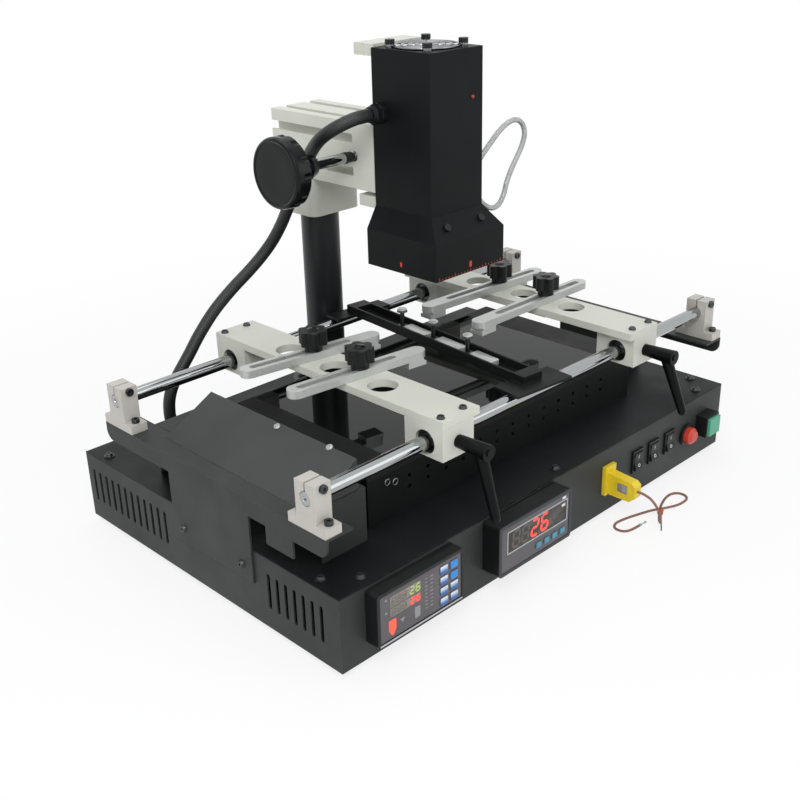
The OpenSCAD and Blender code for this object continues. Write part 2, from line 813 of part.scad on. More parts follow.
// Sheet-metal box of the head, with a fan opening on top and the strut and pin that carry the fan
module head_housing() color("#3f4243") {
    inner = head_width / 2 - sheet;
    strut_z = fan_top - fan_high - clear;
    difference() {
        box(-head_width / 2, head_width / 2, head_front, head_back, head_z0, head_z1);
        box(-inner, inner, head_front + sheet, head_back - sheet, head_z0 - 1, head_z1 - sheet);
        rod_up(fan_r, 0, head_mid, head_z1 - 2 * sheet, head_z1 + 1);
        rod_x(gland_r / 2, -head_width, -inner + 1, gland_y, gland_z);
    }
    box(-inner, inner, head_mid - 4, head_mid + 4, strut_z - 4, strut_z);
    rod_up(fan_pin_r, 0, head_mid, strut_z - 1, fan_top - 4);
}

// Flared skirt under the head: sloping part and straight part, open below
module head_flare() color("#454849") {
    difference() {
        flare_solid(0);
        flare_solid(sheet);
    }
}

module flare_solid(t) {
    y1 = head_back;
    y0 = head_back - flare_depth;
    box(-flare_width / 2 + t, flare_width / 2 - t, y0 + t, y1 - t, head_under - (t > 0 ? 1 : 0),
        head_under + skirt_high);
    hull() {
        box(-flare_width / 2 + t, flare_width / 2 - t, y0 + t, y1 - t, head_under + skirt_high - 0.01,
            head_under + skirt_high);
        box(-head_width / 2 + t, head_width / 2 - t, head_front + t, y1 - t,
            head_z0 - 0.01 + (t > 0 ? 0.01 : 0), head_z0 + (t > 0 ? 0.01 : 0));
    }
}

// Ceramic heating plate in the skirt, with ribs below
module emitter() color("#d8d2c4") {
    w = flare_width / 2 - sheet;
    y0 = head_back - flare_depth + sheet;
    y1 = head_back - sheet;
    z0 = head_under + emitter_up;
    difference() {
        box(-w, w, y0, y1, z0, z0 + emitter_thick);
        for (i = [-3.5:1:3.5]) rod_y_axis(rib_r, i * rib_pitch, y0 - 1, y1 + 1, z0);
    }
}

// Rotor of the axial fan: bored hub with slanted blades
module fan() color("#26282a") {
    translate([0, head_mid, 0]) {
        difference() {
            rod_up(fan_hub_r, 0, 0, fan_top - fan_high, fan_top);
            rod_up(fan_pin_r + run_fit, 0, 0, fan_top - fan_high - 1, fan_top - 3);
        }
        for (i = [0:fan_blades - 1]) rotate([0, 0, i * 360 / fan_blades])
            translate([fan_hub_r - blade_thick, 0, fan_top - fan_high / 2]) rotate([38, 0, 0])
                translate([0, -blade_wide / 2, -blade_thick / 2]) cube([blade_long, blade_wide, blade_thick]);
    }
}

// Wire guard over the fan
module fan_guard() color("#d2d4d4") {
    z = head_z1 + guard_wire;
    translate([0, head_mid, z]) {
        for (k = [0:3]) rotate_extrude() translate([guard_r - k * guard_gap, 0]) circle(guard_wire, $fn = 16);
        for (a = [45:90:315]) rotate([0, 0, a]) rotate([0, 90, 0])
            cylinder(r = guard_wire * 0.9, h = guard_r, $fn = 16);
        for (x = [-1, 1], y = [-1, 1]) translate([x * guard_pitch, y * guard_pitch, -guard_wire])
            difference() {
                cylinder(r = guard_tab_r, h = guard_tab);
                translate([0, 0, -1]) cylinder(r = guard_hole_r, h = guard_tab + 2);
            }
    }
}

// Thumb screws of the fan guard and the screws on the flare front
module head_screws() color("#2a2b2c") {
    for (x = [-1, 1], y = [-1, 1]) translate([x * guard_pitch, head_mid + y * guard_pitch, head_z1]) {
        cylinder(r = guard_hole_r - slide_fit, h = guard_tab + 1);
        translate([0, 0, guard_tab]) cylinder(r = thumb_r, h = thumb_h, $fn = 24);
    }
    cone_run = head_front - (head_back - flare_depth);
    tilt = atan2(cone_high, cone_run);
    for (s = [-1, 1])
        translate([s * flare_screw_x, head_front - cone_run / 2, head_under + skirt_high + cone_high / 2])
            rotate([tilt, 0, 0]) cylinder(r = flare_screw_r, h = flare_screw_h);
}

// Cable gland on the left face of the head; the cable meets its round end face
module cable_gland() color("#1d1f20") {
    nut = 5;
    cap = 11;
    translate([-head_width / 2, gland_y, gland_z]) rotate([0, -90, 0]) {
        cylinder(r = gland_r + 2, h = nut, $fn = 6);
        cylinder(r = gland_r, h = cap);
        translate([0, 0, cap - nut]) cylinder(r = gland_r + 1.5, h = nut, $fn = 6);
        translate([0, 0, cap]) cylinder(r1 = gland_r, r2 = cable_d / 2 + 0.3, h = gland_length - cap);
    }
}

// Dished handwheel with a scalloped rim
module handwheel() color("#2b2e30") {
    r = wheel_diameter / 2;
    translate([wheel_x, pinion_y, pinion_z]) rotate([0, 90, 0]) difference() {
        rotate_extrude($fn = 96) polygon([[shaft_r, wheel_dish - 1], [wheel_hub_r, wheel_dish - 1],
            [r - wheel_rim, wheel_dish], [r - 0.6 * wheel_rim, 0.25 * wheel_dish], [r - 0.35 * wheel_rim, 0],
            [r - 0.12 * wheel_rim, 0.25 * wheel_dish], [r, 0.8 * wheel_dish], [r, wheel_thick - 2],
            [r - 2, wheel_thick], [r - wheel_rim, wheel_thick], [wheel_hub_r + 2, wheel_thick - 3],
            [wheel_hub_r, wheel_thick], [wheel_hub_r, hub_end - wheel_x - hub_taper],
            [0.75 * wheel_hub_r, hub_end - wheel_x], [shaft_r, hub_end - wheel_x]]);
        for (a = [0:30:359]) rotate([0, 0, a])
            translate([r + scallop_r - scallop_deep, 0, wheel_smooth])
                cylinder(r = scallop_r, h = wheel_thick);
    }
}

// Chrome shaft with the pinion cut on it
module wheel_shaft() color("#c6c9ca") {
    neck_x = -arm_side / 2 - clear;
    rod_x(shaft_r, wheel_x + 2, neck_x - neck_long, pinion_y, pinion_z);
    rod_x(neck_r, neck_x - neck_long, neck_x, pinion_y, pinion_z);
    rod_x(shaft_r, neck_x, -pinion_half, pinion_y, pinion_z);
    translate([-pinion_half, pinion_y, pinion_z]) rotate([0, 90, 0]) linear_extrude(2 * pinion_half)
        pinion_section();
    rod_x(shaft_r, pinion_half, arm_side / 2 + 2, pinion_y, pinion_z);
}

// Teeth of the pinion, a gap facing the rack
module pinion_section() {
    step = 360 / pinion_teeth;
    tip = pinion_radius + tooth_high / 4;
    circle(pinion_radius - 0.75 * tooth_high);
    for (i = [0:pinion_teeth - 1]) rotate([0, 0, 270 + (i + 0.5) * step])
        polygon([[0, -0.62], [tip, -0.3], [tip, 0.3], [0, 0.62]]);
}

module head_cable() color("#2a2b2d") tube(path(cable_route, 3), cable_d, 12);

module sensor_hose() color("#c8caca") tube(path(hose_route, 3), hose_d, 8);

// Flat clamp bar with three round openings, tapped holes and end screws
module clamp_bar(x, s) {
    translate([x, heater_y, bar_under]) linear_extrude(bar_thick) difference() {
        square([bar_width, bar_length], center = true);
        for (i = [-1, 0, 1]) translate([s * bar_hole_off, i * 2 * knob_pitch]) circle(bar_hole_d / 2);
        for (i = [-1, 1]) translate([0, i * knob_pitch]) circle(stud_d / 2 + run_fit);
    }
}

module left_bar() color("#e1e2d8") clamp_bar(left_bar_x, -1);

module right_bar() color("#e1e2d8") clamp_bar(right_bar_x, 1);

// Two end blocks of a clamp bar, bored for a linear bush; s is the outer side
module end_blocks(x, s) {
    x_out = x + s * bar_width / 2;
    x0 = min(x_out, x_out - s * block_width);
    for (y = rod_y) {
        t = y < heater_y ? -1 : 1;
        y_end = heater_y + t * block_end;
        y0 = min(y_end, y_end - t * block_depth);
        difference() {
            box(x0, x0 + block_width, y0, y0 + block_depth, rod_z - block_drop, bar_under);
            rod_x(bush_r, x0 - 1, x0 + block_width + 1, y, rod_z);
            if (t < 0) rod_y_axis(lever_stud_r + run_fit, lever_x(x, s), y0 - 1, y, lever_axis_z);
        }
    }
}

function lever_x(x, s) = x + s * (bar_width / 2 - block_width / 2);

module left_blocks() color("#d8d9cf") end_blocks(left_bar_x, -1);

module right_blocks() color("#d8d9cf") end_blocks(right_bar_x, 1);

// Linear bushes and bar screws of one clamp bar
module bar_fittings(x, s) {
    x_mid = x + s * (bar_width - block_width) / 2;
    for (y = rod_y) {
        t = y < heater_y ? -1 : 1;
        difference() {
            rod_x(bush_r, x_mid - bush_length / 2, x_mid + bush_length / 2, y, rod_z);
            rod_x(rod_r + run_fit, x_mid - bush_length, x_mid + bush_length, y, rod_z);
            if (t < 0) rod_y_axis(lever_stud_r + clear, lever_x(x, s), y - 3 * bush_r, y, lever_axis_z);
        }
        for (u = [-1, 1]) translate([x_mid + u * bar_screw, heater_y + t * bar_screw_y, bar_top])
            screw_up(false);
    }
}

module left_fittings() color("#6f7274") bar_fittings(left_bar_x, -1);

module right_fittings() color("#6f7274") bar_fittings(right_bar_x, 1);

// Slotted board arm with a stepped jaw, turned about its stud; the jaw points along its own +X
module board_arm(x, y, turn, reach, tail) {
    long = reach + tail;
    slot_x0 = -tail + slot_end;
    slot_x1 = reach - jaw_length - slot_end;
    translate([x, y, 0]) rotate([0, 0, turn]) difference() {
        union() {
            translate([(reach - tail) / 2, 0, arm_low]) linear_extrude(arm_thick) slot_2d_x(long, arm_width);
            box(reach - jaw_length, reach - jaw_lip / 2, -arm_width / 2, arm_width / 2, arm_low - jaw_drop,
                arm_low);
        }
        translate([(slot_x0 + slot_x1) / 2, 0, arm_low - 1]) linear_extrude(arm_thick + 2)
            slot_2d_x(slot_x1 - slot_x0, slot_width);
        box(reach - jaw_lip, reach + 1, -arm_width, arm_width, arm_low - jaw_notch, arm_low + 0.5);
    }
}

module arm_l1() color("#d6d7d5")
    board_arm(left_bar_x, heater_y + knob_pitch, arm_turn[0], left_reach, left_tail);

module arm_l2() color("#d6d7d5")
    board_arm(left_bar_x, heater_y - knob_pitch, arm_turn[1], left_reach, left_tail);

module arm_r1() color("#d6d7d5")
    board_arm(right_bar_x, heater_y + knob_pitch, 180 + arm_turn[2], right_reach, right_tail);

module arm_r2() color("#d6d7d5")
    board_arm(right_bar_x, heater_y - knob_pitch, 180 + arm_turn[3], right_reach, right_tail);

// Star knob with stud, seated on a board arm
module star_knob(x, y) {
    z0 = arm_top;
    r = knob_diameter / 2;
    translate([x, y, 0]) {
        rod_up(stud_d / 2, 0, 0, bar_under, z0 + 1);
        rod_up(knob_collar_r, 0, 0, z0, z0 + knob_collar_h);
        difference() {
            union() {
                rod_up(r - lobe_r / 2, 0, 0, z0 + knob_collar_h, z0 + knob_collar_h + knob_h);
                for (a = [0:360 / knob_lobes:359]) rotate([0, 0, a])
                    rod_up(lobe_r, r - lobe_r, 0, z0 + knob_collar_h, z0 + knob_collar_h + knob_h);
            }
            for (a = [0:360 / knob_lobes:359]) rotate([0, 0, a + 180 / knob_lobes])
                rod_up(lobe_gap_r, r + 0.15 * lobe_r, 0, z0, z0 + knob_collar_h + knob_h + 1);
        }
    }
}

module knob_l1() color("#202122") star_knob(left_bar_x, heater_y + knob_pitch);

module knob_l2() color("#202122") star_knob(left_bar_x, heater_y - knob_pitch);

module knob_r1() color("#202122") star_knob(right_bar_x, heater_y + knob_pitch);

module knob_r2() color("#202122") star_knob(right_bar_x, heater_y - knob_pitch);

// Clamping lever on the front block: stud, hub and hanging handle, turned about the hub
module clamp_lever(x, turn) {
    y0 = heater_y - block_end;
    root_y = lever_inset - lever_hub;
    handle = [[0, 0], [lever_root_r, 0], [lever_tip_r, lever_arm],
        [0.7 * lever_tip_r, lever_arm + 0.7 * lever_tip_r], [0, lever_arm + lever_tip_r]];
    translate([x, y0, lever_axis_z]) rotate([0, turn, 0]) {
        rotate([90, 0, 0]) cylinder(r1 = lever_root_r, r2 = lever_hub_r, h = lever_hub);
        rotate([90, 0, 0]) translate([0, 0, lever_hub]) cylinder(r = lever_cap_r, h = lever_cap_h);
        rotate([-90, 0, 0]) cylinder(r = lever_stud_r, h = rod_y[0] - rod_r - clear - y0);
        translate([0, root_y, 0]) rotate([180 - lever_lean, 0, 0]) rotate_extrude() polygon(handle);
    }
}

module lever_left() color("#2c2d2d") clamp_lever(lever_x(left_bar_x, -1), 0);

module lever_right() color("#2c2d2d") clamp_lever(lever_x(right_bar_x, 1), lever_turn_right);

// Loose support bar lying across both rods: channel with a flat end plate over each rod
module support_bar() color("#393b3b") {
    half = rod_spacing / 2;
    inner = support_wide / 2 - support_wall;
    translate([support_x, heater_y, support_under]) rotate([0, 0, -support_skew]) {
        difference() {
            box(-support_wide / 2, support_wide / 2, -half, half, 0, support_high);
            box(-inner, inner, -half + support_solid, half - support_solid, support_wall, support_high + 1);
        }
        box(-support_tee / 2, support_tee / 2, -half - tee_front, -half + tee_inner, 0, tee_thick);
        box(-support_tee / 2, support_tee / 2, half - tee_inner, half + tee_back, 0, tee_thick);
    }
}

// Mushroom-head board rests standing in the channel
module support_posts() color("#c2c5c4") {
    translate([support_x, heater_y, support_under + support_wall]) rotate([0, 0, -support_skew])
        for (y = post_y) translate([0, y, 0]) {
            cylinder(r = 5, h = 3);
            cylinder(r = 2.2, h = post_high - 1);
            translate([0, 0, post_high - 3]) cylinder(r1 = 5.2, r2 = 4.2, h = 3);
        }
}

// Panel meter: bezel in front of the wall and case behind it
module panel_meter(x, z, out) {
    difference() {
        union() {
            translate([x, front_y, z]) rotate([90, 0, 0]) linear_extrude(out)
                round_rect(meter_width, meter_height, 3);
            box(x - meter_width / 2 + 2.2, x + meter_width / 2 - 2.2, front_y, front_y + meter_deep,
                z - meter_height / 2 + 1.7, z + meter_height / 2 - 1.7);
        }
        translate([x, front_y - out + meter_recess, z]) rotate([90, 0, 0]) linear_extrude(3)
            round_rect(meter_width - 6, meter_height - 6, 1.5);
    }
}

module meter_left() color("#33353a") panel_meter(left_meter_x, left_meter_z, left_meter_out);

module meter_right() color("#6a6b6d") panel_meter(right_meter_x, right_meter_z, right_meter_out);

// Front films of both meters with raised keys
module display_windows() color("#4a4a50") {
    for (m = [[left_meter_x, left_meter_z, left_meter_out], [right_meter_x, right_meter_z, right_meter_out]])
        translate([m[0], front_y - m[2] + meter_recess, m[1]]) rotate([90, 0, 0])
            linear_extrude(film) round_rect(meter_width - 6.4, meter_height - 6.4, 1.4);
    translate([left_meter_x, front_y - left_meter_out + meter_recess - film, left_meter_z]) rotate([90, 0, 0])
        for (x = left_keys_x, i = [0:3]) translate([x, left_key_low + i * left_key_pitch, 0])
            linear_extrude(key_h) round_rect(9, 7.6, 1);
    translate([right_meter_x, front_y - right_meter_out + meter_recess - film, right_meter_z])
        rotate([90, 0, 0]) for (i = [0:3]) translate([right_key_first + i * right_key_pitch, right_key_z, 0])
            linear_extrude(key_h) round_rect(8, 6.4, 1.5);
}

// Rocker frames, button sleeves and the mains inlet at the back
module panel_fittings() color("#1f2021") {
    for (x = rocker_x) difference() {
        box(x - rocker_w / 2 - rocker_frame, x + rocker_w / 2 + rocker_frame, front_y - rocker_out, front_y,
            rocker_z - rocker_h / 2 - rocker_frame, rocker_z + rocker_h / 2 + rocker_frame);
        box(x - rocker_w / 2, x + rocker_w / 2, front_y - rocker_out - 1, front_y + 1,
            rocker_z - rocker_h / 2, rocker_z + rocker_h / 2);
        rod_x(rocker_pin_r + run_fit, x - rocker_w / 2 - 1.2, x + rocker_w / 2 + 1.2, rocker_pin_y, rocker_z);
    }
    difference() {
        union() {
            rod_y_axis(red_d / 2 + 3, red_x, front_y - 3, front_y, red_z);
            rod_y_axis(red_d / 2 + 1, red_x, front_y, front_y + 18, red_z);
        }
        rod_y_axis(red_d / 2 + 0.3, red_x, front_y - 4, front_y + 14, red_z);
    }
    difference() {
        union() {
            box(green_x - green_side / 2 - 1.5, green_x + green_side / 2 + 1.5, front_y - green_out, front_y,
                green_z - green_side / 2 - 1.5, green_z + green_side / 2 + 1.5);
            rod_y_axis(green_side / 2, green_x, front_y, front_y + 18, green_z);
        }
        box(green_x - green_side / 2, green_x + green_side / 2, front_y - green_out - 1, front_y - 2,
            green_z - green_side / 2, green_z + green_side / 2);
    }
    difference() {
        box(inlet_x - inlet_w / 2, inlet_x + inlet_w / 2, back_y - 24, back_y + 2, inlet_z - inlet_h / 2,
            inlet_z + inlet_h / 2);
        box(inlet_x - 12, inlet_x + 12, back_y - 16, back_y + 3, inlet_z - 8, inlet_z + 8);
    }
}

// Rocker with a tilted two-part face and pivot pins in its frame
module rocker(x) {
    w = rocker_w / 2 - 0.3;
    h = rocker_h / 2 - 0.6;
    translate([x - w, front_y, rocker_z]) rotate([90, 0, 90]) linear_extrude(2 * w)
        polygon([[4, -h + 2], [-3, -h], [-4.8, -h + 1], [-2.8, 0], [-3.4, h - 0.6], [-2, h], [4, h - 2]]);
    rod_x(rocker_pin_r, x - rocker_w / 2 - 1, x + rocker_w / 2 + 1, rocker_pin_y, rocker_z);
}

module rocker_1() color("#2b2c2e") rocker(rocker_x[0]);

module rocker_2() color("#2b2c2e") rocker(rocker_x[1]);

module rocker_3() color("#2b2c2e") rocker(rocker_x[2]);

// Round button with a domed cap
module red_button() color("#d2402e") {
    translate([red_x, front_y + 10, red_z]) rotate([90, 0, 0]) {
        cylinder(r = red_d / 2, h = 18);
        translate([0, 0, 18]) cylinder(r1 = red_d / 2, r2 = red_d / 2 - 3, h = 3);
    }
}

// Square button cap in its sleeve
module green_button() color("#58b893") {
    h = green_side / 2 - 0.3;
    box(green_x - h, green_x + h, front_y - green_out - 3, front_y - 2 - button_travel - 0.5, green_z - h,
        green_z + h);
}

// Panel socket of the temperature probe
module probe_socket() color("#e2cf35") {
    difference() {
        union() {
            box(socket_x - socket_w / 2, socket_x + socket_w / 2, front_y - socket_out, front_y,
                socket_z - socket_h / 2, socket_z + socket_h / 2);
            box(socket_x - socket_w / 2 + 2.2, socket_x + socket_w / 2 - 2.2, front_y, front_y + 12,
                socket_z - socket_h / 2 + 3.2, socket_z + socket_h / 2 - 3.2);
        }
        for (z = [-4, 4]) box(socket_x - 1.6, socket_x + 1.6, front_y - socket_out - 1, front_y + 9,
            socket_z + z - 1, socket_z + z + 1);
    }
}

// Flat probe plug with two blades
module probe_plug() color("#e8d53a") {
    y1 = front_y - socket_out;
    difference() {
        translate([socket_x - 5, y1, socket_z - 2]) rotate([90, 0, 90]) linear_extrude(10)
            polygon([[0, -11], [-plug_out + 6, -11], [-plug_out, -6], [-plug_out, 6], [-plug_out + 4, 9],
                [0, 11]]);
        rod_x(4, socket_x - 6, socket_x + 6, y1 - 17, socket_z - 2);
    }
    for (z = [-4, 4]) box(socket_x - 1.2, socket_x + 1.2, y1, y1 + 8, socket_z + z - 0.8, socket_z + z + 0.8);
}

module probe_wire() color("#8a6a60") tube(path(wire_route, 3), wire_d, 8);

base_shell();
deck();
feet();
base_screws();
end_plate_left();
end_plate_right();
heater_tray();
heater_glass();
blower_cover();
blower_hood();
rods();
rod_supports();
support_screws();
column();
bracket();
arm();
carriage();
rail();
rack();
head_housing();
head_flare();
emitter();
fan();
fan_guard();
head_screws();
cable_gland();
handwheel();
wheel_shaft();
head_cable();
sensor_hose();
left_bar();
left_blocks();
left_fittings();
right_bar();
right_blocks();
right_fittings();
arm_l1();
arm_l2();
arm_r1();
arm_r2();
knob_l1();
knob_l2();
knob_r1();
knob_r2();
lever_left();
lever_right();
support_bar();
support_posts();
meter_left();
meter_right();
display_windows();
panel_fittings();
rocker_1();
rocker_2();
rocker_3();
red_button();
green_button();
probe_socket();
probe_plug();
probe_wire();
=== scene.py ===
"""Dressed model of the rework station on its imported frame: camera, finishes, cords, trim, light."""
import math

import bmesh
import bpy
from mathutils import Matrix, Vector


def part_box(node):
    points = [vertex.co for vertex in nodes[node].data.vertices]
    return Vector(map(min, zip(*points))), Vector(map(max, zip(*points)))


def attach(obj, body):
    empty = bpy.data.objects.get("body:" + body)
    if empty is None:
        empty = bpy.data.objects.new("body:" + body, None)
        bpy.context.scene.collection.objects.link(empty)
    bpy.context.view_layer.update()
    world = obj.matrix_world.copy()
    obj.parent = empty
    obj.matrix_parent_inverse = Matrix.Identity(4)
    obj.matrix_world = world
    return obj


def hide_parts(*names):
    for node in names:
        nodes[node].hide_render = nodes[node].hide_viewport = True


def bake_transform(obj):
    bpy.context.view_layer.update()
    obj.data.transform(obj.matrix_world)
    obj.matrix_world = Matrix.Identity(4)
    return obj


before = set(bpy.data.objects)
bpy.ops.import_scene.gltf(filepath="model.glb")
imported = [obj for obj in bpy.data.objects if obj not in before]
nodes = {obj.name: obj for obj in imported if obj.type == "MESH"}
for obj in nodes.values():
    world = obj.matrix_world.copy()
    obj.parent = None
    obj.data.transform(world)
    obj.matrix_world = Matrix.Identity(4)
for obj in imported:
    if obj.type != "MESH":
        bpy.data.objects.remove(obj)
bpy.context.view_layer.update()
scene = bpy.context.scene
scene.view_settings.view_transform = "Standard"

# Shapes are written in millimetres, and the scene is in metres
MM = 0.001
PER_METRE = 1000.0

# Camera, at the place and angle of the photograph
CAMERA_AT = (-0.70896, -0.70157, 0.54504)
CAMERA_RIGHT = (0.70863, -0.70519, -0.02358)
CAMERA_FORWARD = (0.63492, 0.65187, -0.41466)
SENSOR_WIDTH = 36.0
FOCAL_LENGTH = 50.39
CLIP_START = 0.02


def add_camera():
    right = Vector(CAMERA_RIGHT).normalized()
    forward = Vector(CAMERA_FORWARD)
    forward = (forward - right * forward.dot(right)).normalized()
    turn = Matrix((right, right.cross(forward), -forward)).transposed()
    data = bpy.data.cameras.new("camera")
    data.sensor_width = SENSOR_WIDTH
    data.lens = FOCAL_LENGTH
    data.clip_start = CLIP_START
    camera = bpy.data.objects.new("camera", data)
    camera.matrix_world = Matrix.Translation(CAMERA_AT) @ turn.to_4x4()
    scene.collection.objects.link(camera)
    scene.camera = camera


add_camera()


# Materials
MIDDLE = (0.3, 0.7)          # range of a noise that is spread from one end of a tone to the other
CLOUD_SCALE = 9.0            # noise cells per metre: cloudy tone of a coat
WEAR_SCALE = 60.0            # patches of rubbed edges
GLOSS_SCALE = 30.0           # patches of gloss on a coat
METAL_GLOSS_SCALE = 24.0     # patches of gloss on metal
COAT_EDGE = 0.0007           # edge radius shown on coats, metals, glass and printed films
METAL_EDGE = 0.0005
GLASS_EDGE = 0.0006
FILM_EDGE = 0.0003
FLAT_DOT, SHARP_DOT = 0.995, 0.94    # bevelled against true normal: flat face, full edge


def linear(code):
    """Linear colour of a hexadecimal display colour."""
    parts = [int(code[i:i + 2], 16) / 255 for i in (0, 2, 4)]
    return [c / 12.92 if c <= 0.04045 else ((c + 0.055) / 1.055) ** 2.4 for c in parts] + [1.0]


def scaled(colour, factor):
    return [min(1.0, c * factor) for c in colour[:3]] + [1.0]


class Paint:
    """A principled material whose nodes are added one at a time."""

    def __init__(self, name):
        self.material = bpy.data.materials.new(name)
        self.material.use_nodes = True
        self.tree = self.material.node_tree
        self.bsdf = self.tree.nodes["Principled BSDF"]
        self.normal = None

    def add(self, kind, **inputs):
        node = self.tree.nodes.new(kind)
        for key, value in inputs.items():
            self.put(node, key.replace("_", " "), value)
        return node

    def put(self, node, key, value):
        socket = node.inputs[int(key)] if key.isdigit() else node.inputs[key]
        if isinstance(value, bpy.types.NodeSocket):
            self.tree.links.new(value, socket)
        else:
            socket.default_value = value

    def set(self, **inputs):
        for key, value in inputs.items():
            self.put(self.bsdf, key.replace("_", " "), value)

    def coords(self, kind="Object"):
        return self.add("ShaderNodeTexCoord").outputs[kind]

    def axis(self, index):
        """One coordinate of a point in the piece's own frame."""
        return self.add("ShaderNodeSeparateXYZ", Vector=self.coords()).outputs[index]

    def noise(self, scale, detail=3.0, rough=0.55, stretch=None):
        vector = self.coords()
        if stretch:
            vector = self.add("ShaderNodeMapping", Vector=vector, Scale=stretch).outputs[0]
        made = self.add("ShaderNodeTexNoise", Vector=vector, Scale=scale, Detail=detail,
                        Roughness=rough)
        return made.outputs["Fac"]

    def span(self, value, low, high, to_low=0.0, to_high=1.0):
        node = self.add("ShaderNodeMapRange", Value=value)
        ends = {"From Min": low, "From Max": high, "To Min": to_low, "To Max": to_high}
        for key, number in ends.items():
            node.inputs[key].default_value = number
        return node.outputs[0]

    def math(self, kind, a, b=0.5):
        node = self.tree.nodes.new("ShaderNodeMath")
        node.operation = kind
        self.put(node, "0", a)
        self.put(node, "1", b)
        return node.outputs[0]

    def mix(self, factor, a, b):
        node = self.tree.nodes.new("ShaderNodeMix")
        node.data_type = "RGBA"
        self.put(node, "0", factor)
        self.put(node, "6", a)
        self.put(node, "7", b)
        return node.outputs[2]

    def edges(self, radius):
        """Rounds the edges in the shading and returns 1 on sharp edges, 0 on flat faces."""
        bevel = self.tree.nodes.new("ShaderNodeBevel")
        bevel.samples = 4
        bevel.inputs["Radius"].default_value = radius
        self.normal = bevel.outputs[0]
        dot = self.tree.nodes.new("ShaderNodeVectorMath")
        dot.operation = "DOT_PRODUCT"
        self.put(dot, "0", bevel.outputs[0])
        self.put(dot, "1", self.add("ShaderNodeNewGeometry").outputs["Normal"])
        return self.span(dot.outputs["Value"], FLAT_DOT, SHARP_DOT)

    def bump(self, height, distance):
        node = self.add("ShaderNodeBump", Height=height, Distance=distance, Strength=1.0)
        if self.normal:
            self.put(node, "Normal", self.normal)
        self.normal = node.outputs[0]

    def done(self):
        if self.normal:
            self.put(self.bsdf, "Normal", self.normal)
        return self.material


def coated(name, code, rough, grain=0.00004, size=900.0, wear="8d908f", worn=0.35, vary=0.22,
           shine=0.5, fade=None):
    """Painted, powder-coated or moulded surface: cloudy tone, fine grain, rubbed edges.
    A fade (axis, start, end, colour) gives one face of the piece another colour."""
    p = Paint(name)
    base = linear(code)
    cloud = p.span(p.noise(CLOUD_SCALE, 4.0), *MIDDLE)
    tone = p.mix(cloud, scaled(base, 1 - vary), scaled(base, 1 + vary))
    if fade:
        axis, start, end, far = fade
        tone = p.mix(p.span(p.axis(axis), start, end), tone, linear(far))
    patches = p.span(p.noise(WEAR_SCALE, 5.0, 0.7), 0.42, 0.68, 0.0, worn)
    rubbed = p.math("MULTIPLY", p.edges(COAT_EDGE), patches)
    p.set(Base_Color=p.mix(rubbed, tone, linear(wear)))
    p.set(Roughness=p.span(p.noise(GLOSS_SCALE, 4.0), *MIDDLE, rough - 0.06, rough + 0.07))
    p.set(Specular_IOR_Level=shine)
    p.bump(p.noise(size, 2.0), grain)
    return p.done()


def metal(name, code, rough, streak=(1, 1, 1), size=300.0, grain=0.00001, metallic=1.0, vary=0.1):
    """Bare or plated metal with brushed streaks along one direction."""
    p = Paint(name)
    base = linear(code)
    brush = p.noise(size, 3.0, stretch=streak)
    edge = p.math("MULTIPLY", p.edges(METAL_EDGE), 0.5)
    tone = p.mix(p.span(brush, *MIDDLE), scaled(base, 1 - vary), scaled(base, 1 + vary))
    p.set(Base_Color=p.mix(edge, tone, scaled(base, 1.3)))
    p.set(Metallic=metallic)
    gloss = p.noise(METAL_GLOSS_SCALE, 4.0)
    p.set(Roughness=p.span(gloss, *MIDDLE, rough * 0.7, rough * 1.35))
    p.bump(brush, grain)
    return p.done()


def glossy_black_glass():
    """Black heater glass with faint smears."""
    p = Paint("black_glass")
    smear = p.noise(7.0, 5.0, 0.6)
    p.set(Base_Color=p.mix(p.span(smear, 0.35, 0.7), linear("080c0b"), linear("101514")))
    p.set(Roughness=p.span(smear, 0.45, 0.75, 0.025, 0.13))
    p.set(Specular_IOR_Level=0.17)
    p.edges(GLASS_EDGE)
    return p.done()


def film_material():
    """Printed polyester film of the meters, slightly hazy."""
    p = Paint("film")
    cloud = p.noise(20.0, 3.0)
    p.set(Base_Color=p.mix(p.span(cloud, *MIDDLE), linear("4b474c"), linear("5a565b")))
    p.set(Roughness=p.span(p.noise(50.0), *MIDDLE, 0.26, 0.4))
    p.edges(FILM_EDGE)
    p.bump(p.noise(2500.0, 1.0), 0.00001)
    return p.done()


def braid(name, dark, light, around, along, rough, metallic, depth):
    """Braid of a sleeve from the tube's own coordinates: along it in metres, and once round it."""
    p = Paint(name)
    flat = p.coords("UV")
    waves = []
    for side in (1, -1):
        split = p.add("ShaderNodeSeparateXYZ", Vector=flat)
        turn = p.math("MULTIPLY", split.outputs[1], side * around * 2 * math.pi)
        run = p.math("MULTIPLY", split.outputs[0], along)
        waves.append(p.math("SINE", p.math("ADD", turn, run)))
    strand = p.math("MAXIMUM", waves[0], waves[1])
    tone = p.mix(p.span(strand, -0.3, 0.9), linear(dark), linear(light))
    p.set(Base_Color=p.mix(p.span(p.noise(120.0), 0.4, 0.8, 0.0, 0.35), tone, linear(dark)))
    p.set(Metallic=metallic)
    p.set(Roughness=p.span(strand, -1.0, 1.0, rough + 0.15, rough))
    p.bump(strand, depth)
    return p.done()


